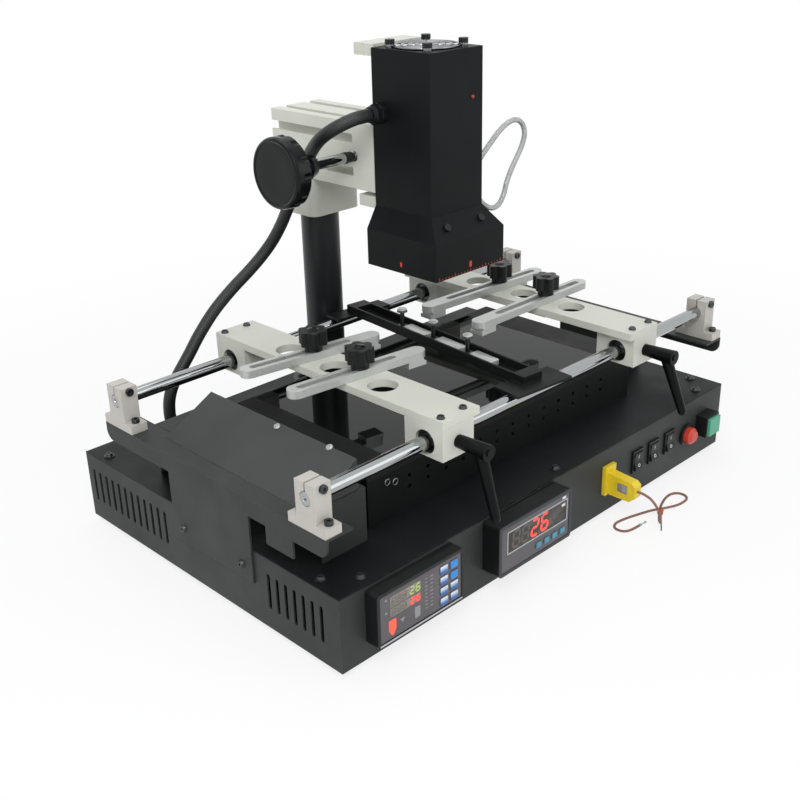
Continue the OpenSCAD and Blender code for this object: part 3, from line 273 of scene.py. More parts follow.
def key_material(name, low, pitch, dark, light):
    """Key faces in rows of equal pitch in Z: dark at the foot of each key, light at its top."""
    p = Paint(name)
    above = p.math("SUBTRACT", p.axis(2), MM * low)
    step = p.math("FRACT", p.math("DIVIDE", above, MM * pitch))
    tone = p.mix(p.span(step, 0.36, 0.8), linear(dark), linear(light))
    p.set(Base_Color=p.mix(p.span(p.noise(900.0), 0.4, 0.8, 0.0, 0.2), tone, linear(dark)))
    p.set(Roughness=p.span(p.noise(60.0), *MIDDLE, 0.3, 0.42))
    p.edges(FILM_EDGE)
    p.bump(p.noise(1500.0, 1.0), 0.000008)
    return p.done()


def lit(name, code, strength):
    """Lamp or lit digit: coloured lens with a faint glow of its own."""
    p = Paint(name)
    base = linear(code)
    glow = p.mix(p.span(p.noise(700.0), *MIDDLE), scaled(base, 0.8), base)
    p.set(Base_Color=glow, Emission_Color=glow, Roughness=0.3)
    p.set(Emission_Strength=strength)
    return p.done()


def moulded(name, code, rough, **more):
    """Moulded plastic: finer grain than a coat."""
    return coated(name, code, rough, **{"size": 1400.0, "worn": 0.4, **more})


def lens(name, code, rough, **more):
    """Clear or smoked plastic over a display, and the bars printed behind it."""
    return coated(name, code, rough, grain=0.000004, size=2000.0, **more)


# Rows of keys on the left meter: height of the film's middle, lowest row below it, and pitch
LEFT_FILM_Z = 45
METER_KEYS_FIRST = -15.3
METER_KEYS_PITCH = 9.8
METER_KEYS_LOW = LEFT_FILM_Z + METER_KEYS_FIRST - METER_KEYS_PITCH / 2

# Front face of the right meter's case, in metres in Y, where its grey bezel begins and is full
BEZEL = (1, -0.1945, -0.1957, "3c3d40")

MAT = {
    "deck": coated("deck_black", "161819", 0.42, worn=0.15, shine=0.14),
    "sheet": coated("sheet_black", "343736", 0.48, wear="8f9291", shine=0.2),
    "hood": coated("hood_black", "3a3d3b", 0.45, wear="8f9291", shine=0.25),
    "head": coated("head_black", "0e1011", 0.44, wear="4c4f4f", worn=0.25, shine=0.12),
    "tray": coated("tray_black", "151616", 0.46, worn=0.2, shine=0.12),
    "ivory": coated("ivory_metal", "cfd0c5", 0.36, grain=0.000012, wear="f2f2ec", worn=0.5,
                    vary=0.05),
    "arm": coated("extruded_ivory", "d2d3c8", 0.34, grain=0.00001, wear="efefe9", worn=0.5,
                  vary=0.06),
    "alloy": coated("cast_alloy", "bdb9b2", 0.4, grain=0.00006, size=500.0, wear="f0eee8",
                    worn=0.4, vary=0.09),
    "jaw": metal("milled_jaw", "c2c4c2", 0.38, (3, 40, 40), 60.0, metallic=0.55),
    "chrome": metal("chrome", "a6a9aa", 0.06, (2, 60, 60), 40.0, 0.0000006, vary=0.04),
    "guard": metal("guard_steel", "8b8d8e", 0.25, (1, 1, 1), 500.0),
    "steel": metal("steel", "a7a9aa", 0.3, (1, 1, 1), 500.0),
    "dark_steel": metal("blackened_steel", "4a4c4d", 0.36, (1, 1, 1), 400.0),
    "column": coated("column_black", "17191b", 0.34, grain=0.00001, wear="5d6163", shine=0.3),
    "black": moulded("black_plastic", "131415", 0.38, wear="3b3d3e", shine=0.3),
    "lever": moulded("lever_plastic", "090a0b", 0.36, wear="3b3d3e", shine=0.12),
    "wheel": moulded("wheel_plastic", "0c0e0f", 0.2, size=1600.0, wear="4d5153", shine=0.2),
    "grey": moulded("grey_plastic", "131415", 0.4, wear="77787a", vary=0.08, shine=0.2,
                    fade=BEZEL),
    "rubber": coated("rubber", "161617", 0.62, size=1100.0, wear="3a3a3b", worn=0.3, shine=0.2),
    "cable": braid("cable_braid", "0b0c0d", "1d1f20", 9, 2600.0, 0.4, 0.0, 0.00012),
    "glass": glossy_black_glass(),
    "film": film_material(),
    "ceramic": coated("ceramic", "cfc8b8", 0.6, grain=0.00008, size=600.0, wear="e9e4d8",
                      vary=0.08),
    "yellow": moulded("yellow_plastic", "e4c727", 0.36, wear="f0e58a", vary=0.07),
    "red": moulded("red_plastic", "c8402f", 0.3, wear="e98a78", vary=0.07),
    "green": moulded("green_plastic", "4aa384", 0.3, wear="a5dcc6", vary=0.07),
    "hose": braid("hose_braid", "6e7172", "d7d9d9", 6, 4200.0, 0.3, 0.75, 0.0002),
    "wire": braid("wire_sleeve", "5c3b33", "a3776a", 4, 6000.0, 0.6, 0.0, 0.0001),
    "lens": lens("display_lens", "857e76", 0.22, wear="9a948c", worn=0.2, vary=0.06),
    "dark_lens": lens("dark_lens", "383530", 0.2, wear="57534d", worn=0.2, vary=0.1),
    "dim": lens("unlit_bars", "6d655d", 0.35, wear="7d756d", vary=0.08),
    "dim_dark": lens("unlit_bars_dark", "57504a", 0.35, wear="6a635c", vary=0.08),
    "digit_red": lit("lit_red", "ff4038", 0.75),
    "digit_green": lit("lit_green", "a9bd6a", 0.25),
    "lamp": lit("lamp_red", "ff5236", 0.6),
    "lamp_dim": lit("lamp_dim_red", "86200f", 0.12),
    "print_red": coated("print_red", "d23a22", 0.5, grain=0.000006, wear="e06a50", vary=0.08),
    "print": coated("print_grey", "8d8d92", 0.5, grain=0.000006, size=1500.0, wear="a5a5aa",
                    vary=0.1),
    "print_white": coated("print_white", "e4e5e8", 0.5, grain=0.000006, size=1500.0,
                          wear="f4f4f6", vary=0.04),
    "key": key_material("key_face", METER_KEYS_LOW, METER_KEYS_PITCH, "1f63ae", "dfeaf6"),
    "key_blue": coated("key_blue", "2d84cf", 0.35, grain=0.000008, size=1500.0, wear="8cc4f6",
                       vary=0.12),
    "cyan": coated("key_cyan", "3f92ae", 0.4, grain=0.000008, size=1500.0, wear="86c6da",
                   vary=0.12),
    "silver": metal("silver_line", "b9babd", 0.3, (30, 2, 2), 80.0),
    "green_wire": coated("green_wire", "4f7d6d", 0.5, size=1500.0, wear="8fb3a5", vary=0.12),
    "tie": coated("shrink_tube", "a2563f", 0.5, size=1500.0, wear="c98a74", vary=0.12),
}

# CAD nodes of each look
LOOK = {
    "deck": ["deck"],
    "sheet": ["base_shell", "end_plate_left", "end_plate_right", "blower_cover"],
    "hood": ["blower_hood"],
    "head": ["head_housing", "head_flare"],
    "tray": ["heater_tray", "support_bar"],
    "ivory": ["left_bar", "left_blocks", "right_bar", "right_blocks", "rail"],
    "arm": ["arm", "carriage", "bracket"],
    "alloy": ["rod_supports"],
    "jaw": ["arm_l1", "arm_l2", "arm_r1", "arm_r2"],
    "chrome": ["rods", "wheel_shaft"],
    "guard": ["fan_guard"],
    "steel": ["rack"],
    "dark_steel": ["support_screws", "left_fittings", "right_fittings", "base_screws",
                   "support_posts"],
    "column": ["column"],
    "black": ["fan", "head_screws", "cable_gland", "knob_l1", "knob_l2", "knob_r1", "knob_r2",
              "meter_left", "panel_fittings", "rocker_1", "rocker_2", "rocker_3"],
    "lever": ["lever_left", "lever_right"],
    "wheel": ["handwheel"],
    "grey": ["meter_right"],
    "rubber": ["feet"],
    "cable": ["head_cable"],
    "glass": ["heater_glass"],
    "film": ["display_windows"],
    "ceramic": ["emitter"],
    "yellow": ["probe_socket", "probe_plug"],
    "red": ["red_button"],
    "green": ["green_button"],
    "hose": ["sensor_hose"],
    "wire": ["probe_wire"],
}

for look, names in LOOK.items():
    for name in names:
        ob = nodes[name]
        if not ob.material_slots:
            ob.data.materials.append(MAT[look])
        for entry in ob.material_slots:
            entry.material = MAT[look]


# Mesh tools. A piece is drawn on a face: its local Z points out of the face
FRONT = Matrix(((1, 0, 0), (0, 0, -1), (0, 1, 0)))
LEFT = Matrix(((0, 0, -1), (-1, 0, 0), (0, 1, 0)))
BACK = Matrix(((-1, 0, 0), (0, 0, 1), (0, 1, 0)))
RIGHT = Matrix(((0, 0, 1), (1, 0, 0), (0, 1, 0)))
UP = Matrix.Identity(3)

WELD = 1e-7                        # points closer than this are one
SHARP_ANGLE = math.radians(35)     # edges sharper than this stay sharp in smooth shading
CORNER_STEPS = 4                   # faces in a rounded corner


def put(at, face=UP):
    """Place of a piece: its local Z stands on the face, its origin at a point in millimetres."""
    return Matrix.Translation(Vector(at) * MM) @ face.to_4x4()


def facing(direction):
    """Face whose outward direction is the given one."""
    return Vector(direction).to_track_quat("Z", "Y").to_matrix()


def loft(bm, rings, place, caps=True):
    """Skin through rings of equal length, given in millimetres in the piece's own frame."""
    made = [[bm.verts.new(place @ (Vector(p) * MM)) for p in ring] for ring in rings]
    count = len(rings[0])
    for low, high in zip(made, made[1:]):
        for i in range(count):
            after = (i + 1) % count
            bm.faces.new((low[i], low[after], high[after], high[i]))
    if caps:
        bm.faces.new(list(reversed(made[0])))
        bm.faces.new(made[-1])


def rounded(w, h, r, z):
    """Ring of a rectangle with round corners."""
    points = []
    for i, (sx, sy) in enumerate(((1, 1), (-1, 1), (-1, -1), (1, -1))):
        for k in range(CORNER_STEPS + 1):
            a = math.radians(90 * (i + k / CORNER_STEPS))
            points.append((sx * (w / 2 - r) + r * math.cos(a),
                           sy * (h / 2 - r) + r * math.sin(a), z))
    return points


def circle(r, z, n):
    turns = [2 * math.pi * i / n for i in range(n)]
    return [(r * math.cos(a), r * math.sin(a), z) for a in turns]


def pad(bm, place, w, h, r, thick, soft):
    """Flat pad with a rounded upper edge."""
    loft(bm, [rounded(w, h, r, 0), rounded(w, h, r, thick - soft),
              rounded(w - 0.6 * soft, h - 0.6 * soft, max(r - 0.3 * soft, 0.05),
                      thick - 0.3 * soft),
              rounded(w - 2 * soft, h - 2 * soft, max(r - soft, 0.05), thick)], place)


def lathe(bm, place, profile, n):
    """Turned solid from (radius, height) pairs."""
    loft(bm, [circle(r, z, n) for r, z in profile], place)


def weld_loft(bm, place, rings):
    """Skin through rings that ends where it began."""
    loft(bm, rings + rings[:1], place, caps=False)
    bmesh.ops.remove_doubles(bm, verts=bm.verts, dist=WELD)


def ring(bm, place, profile, n):
    """Turned ring with a closed section."""
    weld_loft(bm, place, [circle(r, z, n) for r, z in profile])


def rim(bm, place, outer, inner, rise):
    """Raised frame between two flat outlines of equal length."""
    tops = [[(x, y, rise) for x, y, z in edge] for edge in (outer, inner)]
    weld_loft(bm, place, [inner, outer, *tops])


def link(name, bm, look):
    """Object of a finished mesh, shaded smooth."""
    bmesh.ops.recalc_face_normals(bm, faces=bm.faces)
    mesh = bpy.data.meshes.new(name)
    bm.to_mesh(mesh)
    bm.free()
    mesh.materials.append(MAT[look])
    mesh.shade_smooth()
    ob = bpy.data.objects.new(name, mesh)
    scene.collection.objects.link(ob)
    return ob


def piece(name, bm, look, body):
    """Small solid that rides on a body, with one material slot."""
    ob = link(name, bm, look)
    ob.data.set_sharp_from_angle(angle=SHARP_ANGLE)
    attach(ob, body)
    return ob


# Cords, along the same points as their solids
CORD_STEPS, TAIL_STEPS = 12, 8     # curve points between two points of a route


def smooth_path(points, steps):
    """Uniform Catmull-Rom curve through the route's points."""
    p = [Vector(q) * MM for q in points]
    made = []
    for i in range(len(p) - 1):
        a, b, c, d = p[max(i - 1, 0)], p[i], p[i + 1], p[min(i + 2, len(p) - 1)]
        for k in range(steps):
            t = k / steps
            made.append(0.5 * (2 * b + (c - a) * t + (2 * a - 5 * b + 4 * c - d) * t * t
                               + (3 * b - a - 3 * c + d) * t ** 3))
    return made + [p[-1]]


def length_of(path):
    return sum((b - a).length for a, b in zip(path, path[1:]))


def resampled(path, step):
    """Points at equal distances along a path."""
    total = length_of(path)
    count = max(2, round(total / step))
    made, at, done = [], 0, 0.0
    for i in range(count + 1):
        goal = total * i / count
        while at < len(path) - 2 and done + (path[at + 1] - path[at]).length < goal:
            done += (path[at + 1] - path[at]).length
            at += 1
        a, b = path[at], path[at + 1]
        made.append(a.lerp(b, min(1.0, (goal - done) / max((b - a).length, 1e-9))))
    return made


def tube(name, path, radius, look, sides):
    """Tube along a path, with coordinates along it in metres and once round it."""
    bm = bmesh.new()
    uv = bm.loops.layers.uv.new("along")
    side, rings, runs, run = Vector((0.3, 0.2, 1.0)), [], [], 0.0
    turns = [2 * math.pi * k / sides for k in range(sides)]
    for i, p in enumerate(path):
        along = (path[min(i + 1, len(path) - 1)] - path[max(i - 1, 0)]).normalized()
        side = (side - along * side.dot(along)).normalized()
        other = along.cross(side)
        run += (p - path[i - 1]).length if i else 0.0
        runs.append(run)
        rings.append([bm.verts.new(p + radius * (math.cos(a) * side + math.sin(a) * other))
                      for a in turns])
    for i in range(len(rings) - 1):
        for k in range(sides):
            m = (k + 1) % sides
            face = bm.faces.new((rings[i][k], rings[i][m], rings[i + 1][m], rings[i + 1][k]))
            for loop, u, v in zip(face.loops, (i, i, i + 1, i + 1), (k, k + 1, k + 1, k)):
                loop[uv].uv = (runs[u], v / sides)
    bm.faces.new(list(reversed(rings[0])))
    bm.faces.new(rings[-1])
    return link(name, bm, look)


CABLE = [(-47, 7, 370.5), (-52, 7, 370.5), (-61, 8.5, 369.7), (-69, 12.8, 366.8),
         (-74.8, 19.8, 362.3), (-77.5, 29, 356.5), (-77, 39, 350), (-73.5, 51, 341.5),
         (-69.5, 65, 329), (-65.5, 82, 310.5), (-61, 98, 292), (-57.5, 113, 273),
         (-56, 127, 254), (-58.5, 138.5, 237), (-67, 146, 222.5), (-82, 149, 210),
         (-104, 149, 197), (-126, 149, 181.5), (-145, 149, 163.5), (-160, 149, 146),
         (-173, 149, 131.5), (-182, 149, 120), (-187, 149, 108), (-188.5, 149, 96),
         (-188, 149, 84), (-188, 149, 71.5)]
HOSE = [(33, -30, 312), (39, -30, 312), (48, -30, 316.5), (63, -30, 329), (81, -30, 342.5),
        (95, -30, 348.5), (106, -30, 348.5), (114, -30, 343), (117, -30, 334),
        (113.5, -30, 324), (106, -30, 313.5), (98, -30, 303), (92, -30, 292.5), (88, -30, 282),
        (81, -30, 274), (71, -30, 272.5), (60, -30, 278), (50, -30, 287), (41, -30, 292.5),
        (33, -30, 293)]
WIRE = [(69, -211.2, 39), (69, -217.2, 39), (70.5, -225, 35.5), (74, -230.5, 26),
        (79, -230.5, 14), (87, -226, 5), (98, -218, 1.4), (114, -208.5, 1.4), (131, -202, 1.4),
        (144, -200.5, 1.4), (151.5, -205, 1.4), (151.5, -213, 1.4), (145, -217.5, 1.4),
        (131, -217.5, 2), (115, -214, 4), (102, -207, 4), (90, -200, 2), (75, -195, 1.4),
        (63, -193.7, 1.4), (55.5, -198, 1.4), (55.5, -206, 1.4), (62, -210.5, 1.4),
        (77, -212, 1.4)]
TAIL = [(109, -212.5, 3.4), (103, -217, 2.4), (97, -221, 1.2), (91, -225, 0.8), (82, -231, 0.8)]

# Distance of rings along each tube and radius of the tube, in metres
CABLE_STEP, CABLE_RADIUS = 0.0011, 0.0058
HOSE_STEP, HOSE_RADIUS = 0.0016, 0.0025
WIRE_STEP, WIRE_RADIUS = 0.0016, 0.0012
TAIL_STEP, TAIL_RADIUS = 0.0012, 0.0007

BEAD = [(1.25, -3), (1.3, -0.4), (1.0, 0.2), (0.45, 0.5), (0.45, 5), (0.95, 5.6), (1.15, 6.6),
        (0.8, 7.5), (0.2, 7.8)]
TIE = [(1.2, 0), (2.6, 0.5), (2.9, 2.0), (2.7, 4.0), (2.9, 6.0), (2.6, 7.5), (1.2, 8.0)]
TIE_AT, TIE_ALONG = (110.5, -211.5, 3.2), (-13.0, -7.0, 0)


def add_cable():
    """Braided head cable, fixed in place from the head down into the deck."""
    path = resampled(smooth_path(CABLE, CORD_STEPS), CABLE_STEP)
    cable = tube("head_cable_sleeve", path, CABLE_RADIUS, "cable", 24)
    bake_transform(cable)
    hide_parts("head_cable")


def add_hose():
    """Braided sensor hose, both ends on the right face of the head."""
    path = resampled(smooth_path(HOSE, CORD_STEPS), HOSE_STEP)
    hose = tube("sensor_hose_braid", path, HOSE_RADIUS, "hose", 20)
    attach(hose, "head")
    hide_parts("sensor_hose")


def add_probe():
    """Probe lead with a bare welded bead, on the table before the base, and its tied tails."""
    path = resampled(smooth_path(WIRE, CORD_STEPS), WIRE_STEP)
    wire = tube("probe_lead", path, WIRE_RADIUS, "wire", 12)
    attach(wire, "base")
    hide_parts("probe_wire")
    bm = bmesh.new()
    ahead = (path[-1] - path[-4]).normalized()
    lathe(bm, Matrix.Translation(path[-1]) @ facing(ahead).to_4x4(), BEAD, 16)
    bead = piece("probe_bead", bm, "steel", "base")
    tail = resampled(smooth_path(TAIL, TAIL_STEPS), TAIL_STEP)
    tails = tube("probe_tails", tail, TAIL_RADIUS, "green_wire", 10)
    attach(tails, "base")
    bm = bmesh.new()
    lathe(bm, put(TIE_AT, facing(TIE_ALONG)), TIE, 20)
    tie = piece("probe_tie", bm, "tie", "base")


add_cable()
add_hose()
add_probe()


# Printed and lit parts
PRINT_THICK = 0.12        # patches on the films and rockers
FLARE_PRINT_THICK = 0.1   # patches on the head
FIGURE_LEAN = 0.1         # sideways lean of a figure for each unit of height
LENS_RISE = 0.15          # lenses above the film
LENS_SOFT = 0.05          # rounding of a lens
KEY_RISE = 0.6            # foot of a key above the film
KEY_THICK, KEY_SOFT = 0.35, 0.25

LEFT_FILM = Vector((-192.5, -190.0, LEFT_FILM_Z))
RIGHT_FILM = Vector((-59.0, -195.5, 46.5))
FIGURES = {"2": "abged", "6": "acdefg", "8": "abcdefg"}


def plate(bm, place, outline, thick=PRINT_THICK):
    """Thin flat patch with any outline."""
    loft(bm, [[(x, y, z) for x, y in outline] for z in (0, thick)], place)


def oblong(x, y):
    """Outline of a rectangle from its half sizes."""
    return [(-x, -y), (x, -y), (x, y), (-x, y)]


def figure(bm, place, w, h, bar, shape):
    """Seven-segment figure of six-sided bars, leaning to the right."""
    x, y, gap, half = w / 2 - bar / 2, h / 2 - bar / 2, 0.12 * bar, bar / 2
    ends = {"a": ((-x, y), (x, y)), "g": ((-x, 0), (x, 0)), "d": ((-x, -y), (x, -y)),
            "f": ((-x, 0), (-x, y)), "b": ((x, 0), (x, y)), "e": ((-x, -y), (-x, 0)),
            "c": ((x, -y), (x, 0))}
    for name in FIGURES[shape]:
        start, end = (Vector(e) for e in ends[name])
        along = (end - start).normalized()
        side = Vector((-along.y, along.x)) * half
        start, end = start + along * gap, end - along * gap
        points = [start, start + along * half - side, end - along * half - side, end,
                  end - along * half + side, start + along * half + side]
        plate(bm, place, [(q.x + FIGURE_LEAN * q.y, q.y) for q in points])


def on_film(film, x, z, out=0.0):
    return put(film + Vector((x, -out, z)), FRONT)


def add_left_displays():
    """Two display rows, each with three unlit and two lit figures."""
    film, lens_x, lens_wide, upper, lower = LEFT_FILM, -17.8, 33.0, 12.2, 2.6
    bm = bmesh.new()
    for z, h in ((upper, 9.6), (lower, 7.9)):
        pad(bm, on_film(film, lens_x, z), lens_wide, h, 0.5, LENS_RISE, LENS_SOFT)
    piece("left_meter_lenses", bm, "lens", "base")
    bm = bmesh.new()
    for z, h in ((upper, 7.2), (lower, 6.2)):
        for x in (-30.6, -24.8, -19.0):
            figure(bm, on_film(film, x, z, LENS_RISE), 4.6, h, 0.9, "8")
    piece("left_meter_unlit", bm, "dim", "base")
    for name, z, h, bar in (("green", upper, 7.4, 1.3), ("red", lower, 6.9, 1.6)):
        bm = bmesh.new()
        for x, shape in ((-10.6, "2"), (-4.2, "6")):
            figure(bm, on_film(film, x, z, LENS_RISE), 5.4, h, bar, shape)
        piece("left_meter_figures_" + name, bm, "digit_" + name, "base")


def add_left_marks():
    """Run lamp, two small lamps, arrow, patch and two columns of plain bars for the legends."""
    film = LEFT_FILM
    bm = bmesh.new()
    plate(bm, on_film(film, -32.2, -4.0),
          [(-3.8, -9), (-0.8, -13.8), (0.8, -13.8), (3.8, -9), (3.8, 0), (-3.8, 0)])
    piece("left_meter_run_lamp", bm, "lamp", "base")
    bm = bmesh.new()
    for z in (16.1, 4.7):
        lathe(bm, on_film(film, -38.4, z), [(1.2, 0), (1.2, 0.1), (0.7, 0.25)], 16)
    plate(bm, on_film(film, -21.4, -9.4), [(-2.6, 1.8), (0, -2.4), (2.6, 1.8)])
    plate(bm, on_film(film, -5.0, -10.4), oblong(3, 5))
    top_bar, bar_pitch, bar_half = 15.0, 3.4, 0.5
    for x in (5.0, 11.0):
        for i in range(9):
            wide = 1.1 + 0.5 * ((i * 3 + int(x)) % 4) / 3
            plate(bm, on_film(film, x, top_bar - bar_pitch * i), oblong(wide, bar_half))
    piece("left_meter_marks", bm, "print", "base")


def add_left_keys():
    """Two columns of four keys, and the bright line at the foot of the film."""
    film, near, far = LEFT_FILM, 24.7, 36.3
    for name, look, keys in (("faces", "key", [(near, i) for i in range(4)] + [(far, 0), (far, 1)]),
                             ("blue", "key_blue", [(far, 2), (far, 3)])):
        bm = bmesh.new()
        for x, i in keys:
            z = METER_KEYS_FIRST + METER_KEYS_PITCH * i
            pad(bm, on_film(film, x, z, KEY_RISE), 8.4, 7.0, 0.9, KEY_THICK, KEY_SOFT)
        piece("left_meter_keys_" + name, bm, look, "base")
    bm = bmesh.new()
    pad(bm, on_film(film, 0, -22.4, 0.5), 92.0, 1.6, 0.5, 0.15, 0.08)
    piece("left_meter_line", bm, "silver", "base")


def add_right_meter():
    """Framed window with four figures, four keys and two marks."""
    film = RIGHT_FILM
    window, wide, high = on_film(film, 2.2, 5.6), 80.5, 21.6
    frame_rise, frame_width, lens_room = 0.3, 2.2, 2.3
    bm = bmesh.new()
    rim(bm, window, rounded(wide, high, 1.2, 0),
        rounded(wide - frame_width, high - frame_width, 0.6, 0), frame_rise)
    piece("right_meter_frame", bm, "silver", "base")
    bm = bmesh.new()
    pad(bm, window, wide - lens_room, high - lens_room, 0.6, LENS_RISE, LENS_SOFT)
    piece("right_meter_lens", bm, "dark_lens", "base")
    for name, look, shapes in (("unlit", "dim_dark", ((-26.5, "8"), (-14.5, "8"))),
                               ("lit", "digit_red", ((-2.0, "2"), (11.0, "6")))):
        bm = bmesh.new()
        for x, shape in shapes:
            figure(bm, on_film(film, x, 6.2, LENS_RISE), 10.6, 17.2, 2.5, shape)
        piece("right_meter_figures_" + name, bm, look, "base")
    bm = bmesh.new()
    first, pitch = 3.4, 10.8
    for i in range(4):
        pad(bm, on_film(film, first + pitch * i, -13.3, KEY_RISE), 6.4, 5.6, 1.4, KEY_THICK,
            KEY_SOFT)
    piece("right_meter_keys", bm, "cyan", "base")
    bm = bmesh.new()
    for x, z in ((37.3, 18.6), (36.5, 11.6)):
        pad(bm, on_film(film, x, z, frame_rise), 5.4, 2.6, 0.8, 0.12, 0.06)
    piece("right_meter_marks", bm, "print_white", "base")


def tilted(degrees):
    return Matrix.Rotation(math.radians(degrees), 3, "X") @ FRONT


def add_rocker_marks():
    """Off ring on the lower and on bar on the upper half of each rocker."""
    mark = [(1.7, 0), (1.7, PRINT_THICK), (1.05, PRINT_THICK), (1.05, 0)]
    for i, x in enumerate((116.0, 143.0, 171.0)):
        bm = bmesh.new()
        ring(bm, put((x, -180.92, 37.6), tilted(-14.2)), mark, 24)
        plate(bm, put((x, -180.11, 46.4), tilted(4.1)), oblong(0.35, 1.7))
        piece("rocker_marks_%d" % (i + 1), bm, "print_white", "rocker_%d" % (i + 1))


def pointer(half, foot, top):
    """Outline of a mark with a pointed foot."""
    return [(-half, foot), (0, 0), (half, foot), (half, top), (-half, top)]


def add_head_marks():
    """Scale and pointers printed on the flare, and the lamp on the head's front."""
    flare_y, scale_z, pitch, thin = -67.5, 236.6, 4, 0.3
    bm = bmesh.new()
    for i in range(-10, 11):
        tall = 2.6 if i % 5 == 0 else 1.5
        plate(bm, put((pitch * i, flare_y, scale_z), FRONT),
              [(-thin, 0), (thin, 0), (thin, tall), (-thin, tall)], FLARE_PRINT_THICK)
    plate(bm, put((0, flare_y, 240.2), FRONT), pointer(1.5, 0.6, 5.4), FLARE_PRINT_THICK)
    plate(bm, put((-44.25, -25, 241.6), LEFT), pointer(1.1, 0.5, 4.4), FLARE_PRINT_THICK)
    piece("flare_scale", bm, "print_red", "head")
    bm = bmesh.new()
    lathe(bm, put((19.8, -51.5, 383.2), FRONT), [(1.8, 0), (1.8, 0.5), (1.4, 1.0), (0.5, 1.4)], 20)
    piece("head_lamp", bm, "lamp_dim", "head")


# Turned parts, as (radius, height) pairs
FERRULE = [(4.6, 0), (4.6, 1.6), (3.3, 2.0), (3.3, 3.4), (3.0, 3.8), (3.3, 4.2), (3.3, 7.4),
           (2.6, 8.0)]
WHEEL_CAP = [(22.6, -0.5), (26.5, 2.15), (24.5, 2.3), (16.0, 2.0), (8.0, 1.8), (1.0, 1.75)]
COLLAR = [(3.5, 0), (3.5, 3.0), (4.9, 3.2), (4.9, 8.6), (5.3, 8.8), (5.3, 12.0), (5.05, 12.2)]
SCREW = [(1.0, 0), (1.0, 0.4), (0.8, 0.9), (0.42, 1.0), (0.36, 0.6), (0.1, 0.55)]
EYELET = [(3.4, 0), (3.2, 0.7), (2.2, 0.7), (2.0, 0)]
POST_CAP = [(4.4, 0), (4.75, 0.3), (4.7, 1.0), (4.0, 1.7), (2.2, 2.2), (0.5, 2.35)]
KNOB_CAP = [(5.2, -0.05), (5.2, 0.3), (4.6, 0.7), (3.0, 1.1), (1.0, 1.25)]
GROMMET = [(10.5, 0), (10.3, 1.2), (8.6, 2.4), (7.4, 2.2), (6.6, 0)]

WHEEL_Y, WHEEL_Z = 46.9, 327.5


def add_head_fittings():
    """Ferrules of the sensor hose, cap of the handwheel and collar on its shaft."""
    bm = bmesh.new()
    for z in (HOSE[0][2], HOSE[-1][2]):
        lathe(bm, put((32.5, -30, z), RIGHT), FERRULE, 24)
    piece("hose_ferrules", bm, "steel", "head")
    bm = bmesh.new()
    lathe(bm, put((-118.9, WHEEL_Y, WHEEL_Z), LEFT), WHEEL_CAP, 48)
    piece("wheel_cap", bm, "wheel", "wheel")
    bm = bmesh.new()
    lathe(bm, put((-31.0, WHEEL_Y, WHEEL_Z), LEFT), COLLAR, 28)
    piece("shaft_collar", bm, "black", "wheel")


def add_rods():
    """Ground guide rods with chamfered, centre-drilled ends, smooth all round."""
    half, axis_z = 268.0, 147.5
    end = [(1.2, half - 2.5), (2.2, half), (5.2, half), (6.0, half - 0.8)]
    bm = bmesh.new()
    for y in (-147.8, 104.8):
        lathe(bm, put((0, y, axis_z), RIGHT), [(r, -x) for r, x in end] + end[::-1], 96)
    rods = piece("ground_rods", bm, "chrome", "base")
    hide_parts("rods")


def screw(bm, place, r, h):
    """Pan head whose recess is a sunk ring."""
    lathe(bm, place, [(wide * r, tall * h) for wide, tall in SCREW], 20)


def add_heater_trim():
    """Screws of the blower hood and eyelets in the front wall of the preheater."""
    slope = facing(Vector((-27.0, 0, 51.0)).normalized())
    bm = bmesh.new()
    for at in ((-204.0, -38.0, 146.7), (-201.6, -100.0, 147.9)):
        screw(bm, put(at, slope), 3.2, 1.6)
    piece("hood_screws", bm, "steel", "base")
    bm = bmesh.new()
    for x, z in ((-159.0, 107.0), (-150.0, 104.0)):
        ring(bm, put((x, -119.5, z), FRONT), EYELET, 24)
    piece("tray_eyelets", bm, "steel", "base")


def add_support_trim():
    """Bright strips in the channel of the support bar, between its posts, and the posts' caps."""
    place = put((4.0, -21.5, 155.6)) @ Matrix.Rotation(math.radians(-5.5), 4, "Z")
    stops, room, cap_z = (-86.0, -43.0, 5.0, 51.0), 14.0, 18.6
    bm = bmesh.new()
    for low, high in zip(stops, stops[1:]):
        pad(bm, place @ put((0, (low + high) / 2, 0)), 12.0, high - low - room, 2.0, 4.8, 0.3)
    piece("support_strip", bm, "jaw", "support")
    bm = bmesh.new()
    for y in stops[1:]:
        lathe(bm, place @ put((0, y, cap_z)), POST_CAP, 28)
    piece("post_caps", bm, "jaw", "support")


def add_knob_caps():
    """Cap on the top of each star knob."""
    for name in ("knob_l1", "knob_l2", "knob_r1", "knob_r2"):
        low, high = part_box(name)
        bm = bmesh.new()
        middle = [PER_METRE / 2 * (low[i] + high[i]) for i in (0, 1)]
        lathe(bm, put((*middle, PER_METRE * high[2])), KNOB_CAP, 28)
        piece("cap_" + name, bm, "wheel", name)


def add_deck_trim():
    """Grommet of the head cable, screws of the column foot and of the mains inlet."""
    bm = bmesh.new()
    ring(bm, put((CABLE[-1][0], CABLE[-1][1], 73.0)), GROMMET, 28)
    piece("cable_grommet", bm, "rubber", "base")
    bm = bmesh.new()
    column_y, screw_circle, flange_z = 134, 28, 79.0
    for turn in (45, 135, 225, 315):
        a = math.radians(turn)
        at = (screw_circle * math.cos(a), column_y + screw_circle * math.sin(a), flange_z)
        screw(bm, put(at), 4.4, 3.4)
    piece("flange_screws", bm, "dark_steel", "base")
    bm = bmesh.new()
    for x in (-170.5, -129.5):
        screw(bm, put((x, 179.0, 38.0), BACK), 2.4, 1.2)
    piece("inlet_screws", bm, "dark_steel", "base")


